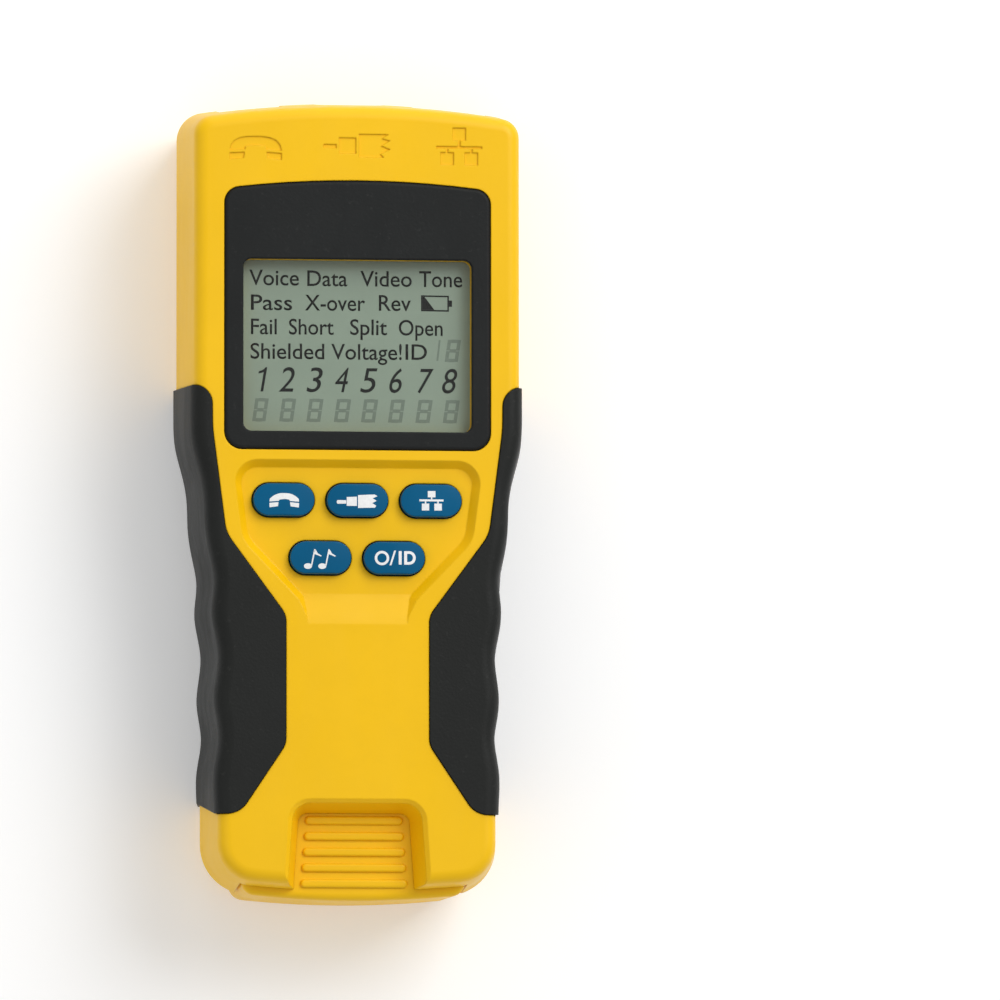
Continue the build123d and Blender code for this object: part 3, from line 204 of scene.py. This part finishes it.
def metal(name, color, rough=0.25, wear=0.3, grain=1800.0, brushed=None):
    m = Net(name)
    col = m.mix(m.ramp(m.noise(240.0, 4.0, 0.6), 0.3, 0.7), mul(color, 0.86), mul(color, 1.06))
    edge = m.edges(0.0004)
    col = m.mix(m.math("MULTIPLY", edge, wear), col, mul(color, 1.25))
    r = m.ramp(m.noise(500.0, 4.0), 0.3, 0.75, rough - 0.08, rough + 0.14)
    h = m.noise(grain, 3.0, 0.6, stretch=brushed or (1.0, 1.0, 1.0))
    m.shader(col, r, m.bump(h, 0.2, 0.00003, m.soft_edges(0.0001)), metallic=1.0)
    return m.mat


YELLOW = lin(253, 199, 3)
MATS = {}
MATS["yellow_abs"] = moulded("yellow_abs", YELLOW, rough=0.42, grain=3000, depth=0.00003, strength=0.30, mottle=0.02, wear=0.25, wear_to=1.12, soft=0.00045, spec=0.3)
MATS["dark_bezel"] = moulded("dark_bezel", lin(29, 31, 31), rough=0.58, grain=1700, depth=0.00005, strength=0.55, mottle=0.08, wear=0.5, wear_to=1.9, soft=0.0002, spec=0.2, dust=0.04)
MATS["grip_rubber"] = moulded("grip_rubber", lin(25, 27, 25), rough=0.52, grain=2100, depth=0.00005, strength=0.5, mottle=0.10, wear=0.45, wear_to=1.7, soft=0.0003, spec=0.26, sheen=0.0, dust=0.04)
MATS["black_plastic"] = moulded("black_plastic", lin(30, 31, 32), rough=0.42, grain=2200, mottle=0.08, wear=0.4, wear_to=1.8)
MATS["white_plastic"] = moulded("white_plastic", lin(228, 226, 216), rough=0.4, grain=2400, mottle=0.03, wear=0.2, wear_to=1.05)
MATS["blue_silicone"] = moulded("blue_silicone", lin(0, 92, 134), rough=0.36, grain=1500, depth=0.00003, strength=0.22, mottle=0.06, wear=0.4, wear_to=1.5, soft=0.0004, spec=0.14)
MATS["grey_silicone"] = moulded("grey_silicone", lin(150, 152, 154), rough=0.6, grain=1600, mottle=0.05)
MATS["carbon_pill"] = moulded("carbon_pill", lin(24, 24, 25), rough=0.7, grain=3000, mottle=0.15)
MATS["chip_epoxy"] = moulded("chip_epoxy", lin(34, 35, 37), rough=0.6, grain=3500, mottle=0.1)
MATS["battery_label"] = moulded("battery_label", lin(38, 41, 46), rough=0.3, grain=900, strength=0.08, mottle=0.06, wear=0.6, wear_to=3.0)
MATS["red_wire"] = moulded("red_wire", lin(170, 22, 16), rough=0.4, grain=1200, mottle=0.05)
MATS["black_wire"] = moulded("black_wire", lin(22, 22, 23), rough=0.4, grain=1200, mottle=0.08)
MATS["steel"] = metal("steel", lin(185, 186, 188), 0.3)
MATS["nickel"] = metal("nickel", lin(205, 200, 190), 0.2, grain=900, brushed=(1.0, 4.0, 1.0))
MATS["gold_contact"] = metal("gold_contact", lin(226, 184, 96), 0.2)
MATS["capacitor_can"] = metal("capacitor_can", lin(196, 198, 202), 0.32)


def board_material():
    m = Net("board_green")
    base = lin(22, 92, 48)
    lines = m.n("ShaderNodeTexBrick")
    m.link(m.co, lines.inputs["Vector"])
    lines.inputs["Scale"].default_value = 220.0
    lines.inputs["Mortar Size"].default_value = 0.03
    lines.inputs["Color1"].default_value = base
    lines.inputs["Color2"].default_value = mul(base, 0.9)
    lines.inputs["Mortar"].default_value = mul(base, 1.5)
    col = m.mix(m.ramp(m.noise(120.0, 3.0), 0.3, 0.7, 0.0, 0.4), lines.outputs["Color"], mul(base, 0.8))
    r = m.ramp(m.noise(300.0, 3.0), 0.3, 0.7, 0.26, 0.42)
    m.shader(col, r, m.bump(lines.outputs["Fac"], 0.3, 0.00005), coat=0.3)
    return m.mat


MATS["board_green"] = board_material()


def lcd_material():
    """Reflective liquid-crystal glass: grey-green, faint pixel-plane speckle, with a painted shadow of the bezel
    darkening it towards its top edge.
    """
    m = Net("lcd_glass")
    c = lin(166, 180, 165)
    sep = m.n("ShaderNodeSeparateXYZ")
    m.link(m.co, sep.inputs[0])
    # painted shadow: the display's colour is darkened towards its top edge, standing in for the bezel's shade
    top = m.ramp(sep.outputs["Y"], 0.0440, 0.0525)
    col = m.mix(m.ramp(m.noise(60.0, 2.0), 0.3, 0.7), mul(c, 0.97), mul(c, 1.03))
    col = m.mix(m.ramp(m.noise(2600.0, 2.0), 0.4, 0.7, 0.0, 0.5), col, mul(c, 0.94))
    col = m.mix(m.math("MULTIPLY", top, 0.45), col, lin(118, 124, 122))
    r = m.ramp(m.noise(200.0, 3.0), 0.3, 0.7, 0.3, 0.42)
    m.shader(col, r, m.bump(m.noise(3200.0, 2.0), 0.06, 0.00002), spec=0.3)
    return m.mat


MATS["lcd_glass"] = lcd_material()


def lens_material():
    """Thin clear window: see-through, with surface gloss and a few hairline scuffs."""
    m = Net("clear_lens")
    tr = m.n("ShaderNodeBsdfTransparent")
    tr.inputs["Color"].default_value = (0.955, 0.965, 0.955, 1.0)
    gl = m.n("ShaderNodeBsdfGlossy")
    gl.inputs["Color"].default_value = (1, 1, 1, 1)
    m.put(gl.inputs["Roughness"], m.ramp(m.noise(160.0, 4.0), 0.35, 0.7, 0.05, 0.14))
    nrm = m.bump(m.noise(900.0, 2.0, 0.6, stretch=(1.0, 0.05, 1.0)), 0.03, 0.00002)
    m.link(nrm, gl.inputs["Normal"])
    fr = m.n("ShaderNodeFresnel")
    fr.inputs["IOR"].default_value = 1.46
    mixs = m.n("ShaderNodeMixShader")
    m.put(mixs.inputs[0], m.math("MULTIPLY", fr.outputs[0], 0.4))
    m.link(tr.outputs[0], mixs.inputs[1])
    m.link(gl.outputs[0], mixs.inputs[2])
    m.link(mixs.outputs[0], m.out.inputs["Surface"])
    return m.mat


MATS["clear_lens"] = lens_material()


def print_material(name, color, rough=0.5):
    m = Net(name)
    col = m.mix(m.ramp(m.noise(1400.0, 3.0), 0.35, 0.7), mul(color, 0.93), color)
    r = m.ramp(m.noise(600.0, 3.0), 0.3, 0.7, rough - 0.08, rough + 0.08)
    m.shader(col, r, m.bump(m.noise(2400.0, 2.0), 0.15, 0.00002), spec=0.35)
    return m.mat


MAT_SEG = print_material("lcd_segment_dark", lin(7, 8, 7), 0.5)
MAT_GHOST = print_material("lcd_segment_ghost", lin(136, 149, 137), 0.45)
MAT_ICON = print_material("key_print_white", lin(250, 250, 250), 0.5)

SLOT_OF = {s["node"]: s["material_slot"] for s in frame["record"]["subparts"]}
for name, obj in NODES.items():
    obj.data.materials.clear()
    obj.data.materials.append(MATS[SLOT_OF[name]])
    for p in obj.data.polygons:
        p.use_smooth = True
    obj.data.set_sharp_from_angle(angle=math.radians(32)) if hasattr(obj.data, "set_sharp_from_angle") else None


# ---------------------------------------------------------------- mesh helpers
def make(name, verts, faces, body, mat, smooth=False):
    me = bpy.data.meshes.new(name)
    me.from_pydata([tuple(v) for v in verts], [], faces)
    me.validate()
    me.update()
    bm = bmesh.new()
    bm.from_mesh(me)
    bmesh.ops.recalc_face_normals(bm, faces=bm.faces)
    bm.to_mesh(me)
    bm.free()
    ob = bpy.data.objects.new(name, me)
    SCENE.collection.objects.link(ob)
    me.materials.append(mat)
    if smooth:
        for p in me.polygons:
            p.use_smooth = True
        me.set_sharp_from_angle(angle=math.radians(35))
    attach(ob, body)
    return ob


MM = 0.001


def plates(polys, z_of, thick):
    """Flat plan polygons (mm) turned into thin closed prints that follow the curved face z_of(x, y)."""
    verts, faces = [], []
    for poly in polys:
        bm = bmesh.new()
        f = bm.faces.new([bm.verts.new((x, y, 0)) for x, y in poly])
        f.normal_update()
        if f.normal.z < 0:
            f.normal_flip()
        bmesh.ops.triangulate(bm, faces=[f])
        for _ in range(6):
            long = [e for e in bm.edges if e.calc_length() > 0.6]
            if not long:
                break
            bmesh.ops.subdivide_edges(bm, edges=long, cuts=1)
            bmesh.ops.triangulate(bm, faces=[f for f in bm.faces if len(f.verts) > 3])
        base = len(verts)
        n = len(bm.verts)
        bm.verts.index_update()
        for lift in (thick, -0.05):
            for v in bm.verts:
                verts.append((v.co.x * MM, v.co.y * MM, (z_of(v.co.x, v.co.y) + lift) * MM))
        for t in bm.faces:
            idx = [v.index for v in t.verts]
            faces.append([base + i for i in idx])
            faces.append([base + n + i for i in reversed(idx)])
        for e in bm.edges:
            if len(e.link_loops) == 1:
                lp = e.link_loops[0]
                a, b = lp.vert.index, lp.link_loop_next.vert.index
                faces.append([base + n + a, base + n + b, base + b, base + a])
        bm.free()
    return verts, faces


# ---------------------------------------------------------------- symbols printed on the keys
K = 0.0336  # drawing unit to mm


def arc(cx, cy, r, a0, a1, n, ry=None):
    ry = r if ry is None else ry
    return [(cx + r * math.cos(math.radians(a0 + (a1 - a0) * i / n)), cy + ry * math.sin(math.radians(a0 + (a1 - a0) * i / n))) for i in range(n + 1)]


def quad(x0, y0, x1, y1):
    return [(x0, y0), (x1, y0), (x1, y1), (x0, y1)]


def ring_strip(cx, cy, rx0, ry0, rx1, ry1, n=36):
    out = []
    for i in range(n):
        a, b = 2 * math.pi * i / n, 2 * math.pi * (i + 1) / n
        out.append([
            (cx + rx0 * math.cos(a), cy + ry0 * math.sin(a)), (cx + rx1 * math.cos(a), cy + ry1 * math.sin(a)),
            (cx + rx1 * math.cos(b), cy + ry1 * math.sin(b)), (cx + rx0 * math.cos(b), cy + ry0 * math.sin(b)),
        ])
    return out


def handset():
    """Curved handset over its two feet, drawn about the key's centre, y up."""
    n = 14
    top, low = [], []
    for i in range(n + 1):
        t = -1 + 2 * i / n
        top.append((t * 92, 34 - 36 * abs(t) ** 2.6))
        low.append((t * 33, -4 - 5 * t * t))
    poly = [(-95, -20)] + top + [(95, -20), (34, -16)] + list(reversed(low)) + [(-34, -16)]
    return [poly, [(-95, -29), (-37, -24), (-41, -50), (-94, -57)], [(95, -29), (37, -24), (40, -50), (93, -57)]]


def plug():
    return [
        [(-135, -13), (-135, -24)] + arc(-128, -24, 6, 200, 270, 4) + [(-75, -30), (-75, -8)] + arc(-128, -13, 6, 90, 160, 4),
        [(-72, 12), (-7, 15), (-7, -44), (-72, -44)],
        [(0, 25), (107, 30), (126, 20), (94, 6), (120, -10), (92, -25), (118, -42), (108, -54), (0, -57)],
    ]


def tree():
    return [
        quad(-24, 15, 25, 55), quad(-4, 2, 5, 15.5), quad(-78, -11, 77, 1.5),
        quad(-43, -25, -34, -11.2), quad(-62, -69, -15, -25), quad(37, -25, 46, -11.2), quad(18, -69, 66, -25),
    ]


def notes():
    out = []
    for dx in (0, 91):
        out.append(arc(-84 + dx, -62, 26, 0, 345, 22, 18))
        out.append([(-66 + dx, -60), (-57 + dx, -58), (-36 + dx, 44), (-45 + dx, 44)])
        out.append([(-45 + dx, 46), (-37 + dx, 46), (-22 + dx, 20), (4 + dx, 4), (-3 + dx, -1), (-22 + dx, 8), (-41 + dx, 14)])
    return out


def oid():
    out = ring_strip(-82, -7, 46, 46, 30, 30)
    out.append([(-4, 41), (8, 41), (-22, -53), (-34, -53)])
    out.append(quad(25, -48, 44, 38))
    out.append(quad(60, -48, 79, 38))
    # bowl of the last letter
    n = 18
    for i in range(n):
        a, b = math.radians(-90 + 180 * i / n), math.radians(-90 + 180 * (i + 1) / n)
        out.append([
            (92 + 43 * math.cos(a), -5 + 43 * math.sin(a)), (92 + 43 * math.cos(b), -5 + 43 * math.sin(b)),
            (92 + 25 * math.cos(b), -5 + 26 * math.sin(b)), (92 + 25 * math.cos(a), -5 + 26 * math.sin(a)),
        ])
    out.append(quad(79, 21, 92, 38))
    out.append(quad(79, -48, 92, -31))
    return out


def key_top(cx, cy, ztop):
    r = 46.0
    return lambda x, y: ztop - r + math.sqrt(r * r - (x - cx) ** 2 - (y - cy) ** 2)


for kname, draw in (("phone", handset), ("coax", plug), ("network", tree), ("tone", notes), ("power", oid)):
    lo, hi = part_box(f"key_{kname}")
    cx, cy, ztop = (lo.x + hi.x) / 2 / MM, (lo.y + hi.y) / 2 / MM, hi.z / MM
    polys = [[(cx + x * K, cy + (y + 6) * K) for x, y in poly] for poly in draw()]
    v, f = plates(polys, key_top(cx, cy, ztop), 0.03)
    make(f"print_{kname}", v, f, f"key_{kname}", MAT_ICON)


# ---------------------------------------------------------------- display segments
LCD_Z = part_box("lcd_panel")[1].z / MM


def lcd_xy(cx, cy):
    """Drawing position on the display (units of the layout grid) to mm in the row frame."""
    u, v = 235 + cx / 6.4, 250 + cy / 6.4
    v = v + 0.0082 * (u - 357.4)
    return (u - 357.4) * 0.2166 + 0.44, ((505 - v) * 0.215 - 1.22) / 0.9976 + 0.25


def text_mesh(word, name, x0, x1, base, top, slant=0.0, bold=0.0):
    """A word fitted between x0 and x1, its capitals between base and top."""
    cu = bpy.data.curves.new(name, "FONT")
    cu.body = word
    cu.resolution_u = 4
    cu.offset = bold
    ob = bpy.data.objects.new(name + "_tmp", cu)
    SCENE.collection.objects.link(ob)
    bpy.context.view_layer.update()
    me = bpy.data.meshes.new_from_object(ob)
    cap = bpy.data.curves.new(name + "c", "FONT")
    cap.body = "H"
    cap.offset = bold
    oc = bpy.data.objects.new(name + "_cap", cap)
    SCENE.collection.objects.link(oc)
    bpy.context.view_layer.update()
    mc = bpy.data.meshes.new_from_object(oc)
    h = max(v.co.y for v in mc.vertices)
    bpy.data.objects.remove(ob)
    bpy.data.objects.remove(oc)
    xs = [v.co.x for v in me.vertices]
    w0, w1 = min(xs), max(xs)
    (ax, ay), (bx, by) = lcd_xy(x0, base), lcd_xy(x1, top)
    _, base_y = lcd_xy((x0 + x1) / 2, base)
    _, top_y = lcd_xy((x0 + x1) / 2, top)
    sy = (top_y - base_y) / h
    lean = slant * (top_y - base_y)
    sx = (bx - ax - lean) / (w1 - w0)
    for v in me.vertices:
        y = v.co.y * sy
        v.co = Vector((ax + (v.co.x - w0) * sx + slant * y, base_y + y, 0.0))
    return me


def lcd_piece(name, meshes, mat, z=0.012):
    bm = bmesh.new()
    for me in meshes:
        bm.from_mesh(me)
    bmesh.ops.remove_doubles(bm, verts=bm.verts, dist=0.001)
    geom = bmesh.ops.extrude_face_region(bm, geom=list(bm.faces))
    for g in geom["geom"]:
        if isinstance(g, bmesh.types.BMVert):
            g.co.z = z
    for v in bm.verts:
        v.co = Vector((v.co.x * MM, v.co.y * MM, (LCD_Z + v.co.z) * MM))
    bmesh.ops.recalc_face_normals(bm, faces=bm.faces)
    me = bpy.data.meshes.new(name)
    bm.to_mesh(me)
    bm.free()
    ob = bpy.data.objects.new(name, me)
    SCENE.collection.objects.link(ob)
    me.materials.append(mat)
    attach(ob, "tester")
    return ob


WORDS = [
    ("Voice", 92, 408, 241, 143), ("Data", 462, 717, 240, 142), ("Video", 800, 1128, 236, 138), ("Tone", 1175, 1450, 233, 133),
    ("Pass", 103, 365, 399, 302), ("X-over", 447, 830, 396, 297), ("Rev", 918, 1122, 390, 291),
    ("Fail", 103, 267, 554, 456), ("Short", 345, 630, 551, 453), ("Split", 735, 970, 547, 449), ("Open", 1045, 1325, 545, 447),
    ("Shielded", 100, 570, 709, 611), ("Voltage", 615, 1035, 705, 607), ("!", 1047, 1064, 702, 602), ("ID", 1088, 1225, 700, 602),
]
row_words = [text_mesh(w, "word%d" % i, x0, x1, b, t, bold=0.006) for i, (w, x0, x1, b, t) in enumerate(WORDS)]
DIGITS = [(140, 203), (280, 400), (455, 570), (628, 738), (797, 917), (975, 1085), (1155, 1268), (1313, 1428)]
for i, (x0, x1) in enumerate(DIGITS):
    if i == 0:
        continue
    tilt = -9 * i / 7
    row_words.append(text_mesh(str(i + 1), "digit%d" % i, x0, x1, 920 + tilt, 765 + tilt, slant=0.20, bold=0.0))


def flat_mesh(polys):
    me = bpy.data.meshes.new("flat")
    v, f = [], []
    for poly in polys:
        pts = [lcd_xy(x, y) for x, y in poly]
        f.append([len(v) + i for i in range(len(pts))])
        v += [(x, y, 0.0) for x, y in pts]
    me.from_pydata(v, [], f)
    return me


battery = [
    quad(1187, 288, 1365, 298), quad(1187, 380, 1365, 390), quad(1355, 298.2, 1365, 379.8), quad(1187, 298.2, 1196, 379.8),
    [(1196.2, 298.4), (1210, 298.4), (1272, 379.6), (1196.2, 379.6)], quad(1365.2, 318, 1385, 358),
]
battery = [list(reversed(p)) for p in battery]
row_words.append(flat_mesh(battery))
row_words.append(flat_mesh([[
    (164, 920), (181, 920), (207, 765), (196, 765), (186, 777), (171, 786), (153, 791), (151, 806), (171, 802), (184, 796),
]]))
lcd_piece("display_segments", row_words, MAT_SEG)


def seven(x0, x1, y0, y1, lean=22, t=22):
    """Seven-segment eight, as separate bars, leaning to the right."""
    h = y1 - y0
    ym = (y0 + y1) / 2

    def s(x, y):
        return (x + lean * (y1 - y) / h, y)

    w0, w1 = x0, x1 - lean
    g = 2.0
    bars = []
    for y in (y0, ym - t / 2, y1 - t):
        bars.append([s(w0 + t, y), s(w1 - t, y), s(w1 - t, y + t), s(w0 + t, y + t)])
    for xa, xb in ((w0, w0 + t), (w1 - t, w1)):
        bars.append([s(xa, y0 + g), s(xb, y0 + g), s(xb, ym - g), s(xa, ym - g)])
        bars.append([s(xa, ym + g), s(xb, ym + g), s(xb, y1 - g), s(xa, y1 - g)])
    return [list(reversed(b)) for b in bars]


ghosts = []
for i, (x0, x1) in enumerate([(110, 217), (282, 392), (455, 566), (630, 742), (803, 914), (975, 1086), (1150, 1262), (1325, 1435)]):
    ghosts += seven(x0, x1, 962 - 9 * i / 7, 1112 - 9 * i / 7)
ghosts += seven(1337, 1443, 567, 712)
ghosts += [list(reversed([(1300, 572), (1312, 572), (1297, 705), (1285, 705)]))]
lcd_piece("display_ghosts", [flat_mesh(ghosts)], MAT_GHOST, z=0.006)


# ---------------------------------------------------------------- threaded barrels in place of the plain ones
def threaded(node, new, body, y0, y1, cx, cz, r_crest=4.7, r_root=4.25, r_in=3.9, pitch=0.8, back=None):
    """Helical thread over a barrel along +Y, with its hexagonal shoulder and square base behind."""
    seg, sub = 64, 8
    verts, faces = [], []

    def ring(fn, y_of):
        base = len(verts)
        for k in range(seg):
            a = 2 * math.pi * k / seg
            r = fn(a)
            verts.append((cx + r * math.cos(a), y_of(a), cz + r * math.sin(a)))
        return base

    def bridge(a, b):
        for k in range(seg):
            j = (k + 1) % seg
            faces.append([a + k, a + j, b + j, b + k])

    rows = int((y1 - y0) / pitch * sub)
    prev = ring(lambda a: r_root, lambda a: y0)
    first = prev
    for i in range(1, rows):
        y = y0 + (y1 - y0) * i / rows
        fade = min(1.0, (y - y0) / 0.6, (y1 - y) / 0.8)

        def prof(a, y=y, fade=fade):
            ph = ((y - y0) / pitch - a / (2 * math.pi)) % 1.0
            tri = 1 - abs(2 * ph - 1)
            tri = min(1.0, max(0.0, (tri - 0.12) / 0.7))
            return r_root + (r_crest - r_root) * tri * max(0.0, fade)

        cur = ring(prof, lambda a, y=y: y)
        bridge(prev, cur)
        prev = cur
    cur = ring(lambda a: r_root - 0.1, lambda a: y1)
    bridge(prev, cur)
    inner = ring(lambda a: r_in, lambda a: y1)
    bridge(cur, inner)
    deep = ring(lambda a: r_in, lambda a: y0 - 7.0)
    bridge(inner, deep)
    faces.append([deep + k for k in reversed(range(seg))])
    # shoulder: chamfered hexagon

    def hexr(a, rr):
        s = (a % (math.pi / 3)) - math.pi / 6
        return rr * math.cos(math.pi / 6) / math.cos(s)

    h0 = ring(lambda a: r_root, lambda a: y0)
    h1 = ring(lambda a: min(hexr(a, 6.2), 5.7), lambda a: y0)
    h2 = ring(lambda a: hexr(a, 6.2), lambda a: y0 - 0.3)
    h3 = ring(lambda a: hexr(a, 6.2), lambda a: y0 - 1.6)
    bridge(first, h0)
    bridge(h0, h1)
    bridge(h1, h2)
    bridge(h2, h3)

    def sq(a, half):
        c, s = abs(math.cos(a)), abs(math.sin(a))
        return min(half / max(c, s), half * 1.33)

    s0 = ring(lambda a: sq(a, 5.8), lambda a: y0 - 1.6)
    s1 = ring(lambda a: sq(a, 6.1), lambda a: y0 - 1.9)
    s2 = ring(lambda a: sq(a, 6.1), lambda a: y0 - 10.7)
    s3 = ring(lambda a: sq(a, 5.8), lambda a: y0 - 11.0)
    bridge(h3, s0)
    bridge(s0, s1)
    bridge(s1, s2)
    bridge(s2, s3)
    faces.append([s3 + k for k in range(seg)])
    verts = [(x * MM, y * MM, z * MM) for x, y, z in verts]
    me = bpy.data.meshes.new(new)
    me.from_pydata(verts, [], faces)
    bm = bmesh.new()
    bm.from_mesh(me)
    bmesh.ops.remove_doubles(bm, verts=bm.verts, dist=1e-6)
    bmesh.ops.recalc_face_normals(bm, faces=bm.faces)
    bm.to_mesh(me)
    bm.free()
    ob = bpy.data.objects.new(new, me)
    SCENE.collection.objects.link(ob)
    me.materials.append(MATS["nickel"])
    for p in me.polygons:
        p.use_smooth = True
    me.set_sharp_from_angle(angle=math.radians(28))
    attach(ob, body)
    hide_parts(node)
    return ob


for node, new, body in (("coax_jack_body", "coax_threaded", "tester"), ("remote_coax_body", "remote_coax_threaded", "remote")):
    lo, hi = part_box(node)
    y1 = hi.y / MM
    y0 = lo.y / MM + 11.0
    threaded(node, new, body, y0, y1, (lo.x + hi.x) / 2 / MM, (lo.z + hi.z) / 2 / MM)


# ---------------------------------------------------------------- rating label on the back
def rounded(x0, y0, x1, y1, r, n=6):
    pts = []
    for cx, cy, a in ((x1 - r, y1 - r, 0), (x0 + r, y1 - r, 90), (x0 + r, y0 + r, 180), (x1 - r, y0 + r, 270)):
        pts += arc(cx, cy, r, a, a + 90, n)
    return pts


def slab_piece(name, polys, z0, z1, mat):
    """Thin closed plates between two heights (mm), from plan polygons."""
    v, f = [], []
    for poly in polys:
        b, n = len(v), len(poly)
        v += [(x * MM, y * MM, z0 * MM) for x, y in poly] + [(x * MM, y * MM, z1 * MM) for x, y in poly]
        f.append([b + i for i in reversed(range(n))])
        f.append([b + n + i for i in range(n)])
        for i in range(n):
            j = (i + 1) % n
            f.append([b + i, b + j, b + n + j, b + n + i])
    make(name, v, f, "tester", mat)


MAT_LABEL = print_material("label_foil", lin(196, 198, 196), 0.38)
MAT_INK = print_material("label_ink", lin(38, 40, 42), 0.5)
slab_piece("rating_label", [rounded(-22.4, 28.6, 22.4, 59.4, 1.7)], 0.08, 0.25, MAT_LABEL)
ink = [
    quad(-20.6, 57.3, 20.6, 57.6), quad(-20.6, 30.4, 20.6, 30.7), quad(-20.6, 30.7, -20.3, 57.3), quad(20.3, 30.7, 20.6, 57.3),
    quad(-18.6, 53.0, -2.0, 54.6), quad(-18.6, 50.2, 6.0, 50.8), quad(-18.6, 48.4, 4.0, 49.0), quad(-18.6, 46.6, 7.5, 47.2),
    quad(-18.6, 44.8, 1.0, 45.4), quad(-20.3, 42.4, 20.3, 42.6), quad(0.0, 30.7, 0.2, 42.4),
]
for i, w in enumerate((0.5, 0.25, 0.9, 0.3, 0.3, 0.7, 0.25, 0.5, 1.0, 0.3, 0.5, 0.25, 0.8, 0.3)):
    x0 = -17.6 + 1.13 * i
    ink.append(quad(x0, 33.0, x0 + w, 40.0))
ink += [quad(2.8, 38.6, 17.6, 39.2), quad(2.8, 36.6, 15.0, 37.2), quad(2.8, 34.6, 16.6, 35.2), quad(2.8, 32.8, 10.6, 33.4)]
ink += [quad(10.6, 45.2, 18.2, 45.6), quad(10.6, 54.2, 18.2, 54.6), quad(10.6, 45.6, 11.0, 54.2), quad(17.8, 45.6, 18.2, 54.2)]
slab_piece("rating_print", ink, 0.05, 0.09, MAT_INK)


# ---------------------------------------------------------------- floor, light, camera
def floor_material():
    m = Net("studio_floor")
    c = (0.92, 0.92, 0.915, 1.0)
    col = m.mix(m.ramp(m.noise(3.0, 2.0), 0.3, 0.7), c, mul(c, 0.985))
    b = m.shader(col, m.ramp(m.noise(40.0, 2.0), 0.3, 0.7, 0.6, 0.75), m.bump(m.noise(500.0, 2.0), 0.05, 0.0002), spec=0.2)
    b.inputs["Emission Color"].default_value = (1, 1, 1, 1)
    b.inputs["Emission Strength"].default_value = 0.22
    return m.mat


bm = bmesh.new()
bmesh.ops.create_grid(bm, x_segments=24, y_segments=24, size=2.5)
floor_me = bpy.data.meshes.new("floor")
bm.to_mesh(floor_me)
bm.free()
floor = bpy.data.objects.new("floor", floor_me)
SCENE.collection.objects.link(floor)
floor_me.materials.append(floor_material())
floor.location = (0, 0, -0.00002)


def area(name, loc, target, size, power, color=(1, 1, 1)):
    d = bpy.data.lights.new(name, "AREA")
    d.shape = "RECTANGLE"
    d.size, d.size_y = size
    d.energy = power
    d.color = color
    o = bpy.data.objects.new(name, d)
    SCENE.collection.objects.link(o)
    o.location = loc
    o.rotation_euler = (Vector(target) - Vector(loc)).to_track_quat("-Z", "Y").to_euler()
    return o


area("key_light", (0.75, 0.75, 1.15), (0, 0, 0), (0.9, 0.9), 13.0)
area("fill_light", (-0.9, -0.3, 1.3), (0, 0, 0), (1.2, 1.2), 1.6)
area("rim_light", (0.1, 1.4, 0.6), (0, 0, 0.02), (1.2, 0.5), 3.0)

world = bpy.data.worlds.new("studio")
world.use_nodes = True
world.node_tree.nodes["Background"].inputs[0].default_value = (1, 1, 1, 1)
world.node_tree.nodes["Background"].inputs[1].default_value = 0.48
SCENE.world = world
SCENE.view_settings.view_transform = "Standard"
SCENE.view_settings.look = "None"

centre = Vector((0.0, 0.0, 0.0185))
back = Vector((-0.1216, -0.0698, 0.990)).normalized()
DIST = 3.0
cam_data = bpy.data.cameras.new("camera")
cam_data.sensor_width = 36.0
cam_data.lens = 36.0 * DIST / 0.215
cam_data.clip_start = 0.01
cam_data.dof.use_dof = False
cam = bpy.data.objects.new("camera", cam_data)
SCENE.collection.objects.link(cam)
cam.location = centre + back * DIST
right = Vector((0, 1, 0)).cross(back).normalized()
up = back.cross(right).normalized()
aim = centre + right * (500 - 347.5) * 0.000215 + up * (505 - 500) * 0.000215
z = (cam.location - aim).normalized()
x = up.cross(z).normalized()
y = z.cross(x).normalized()
cam.rotation_euler = Matrix((x, y, z)).transposed().to_euler()
SCENE.camera = cam
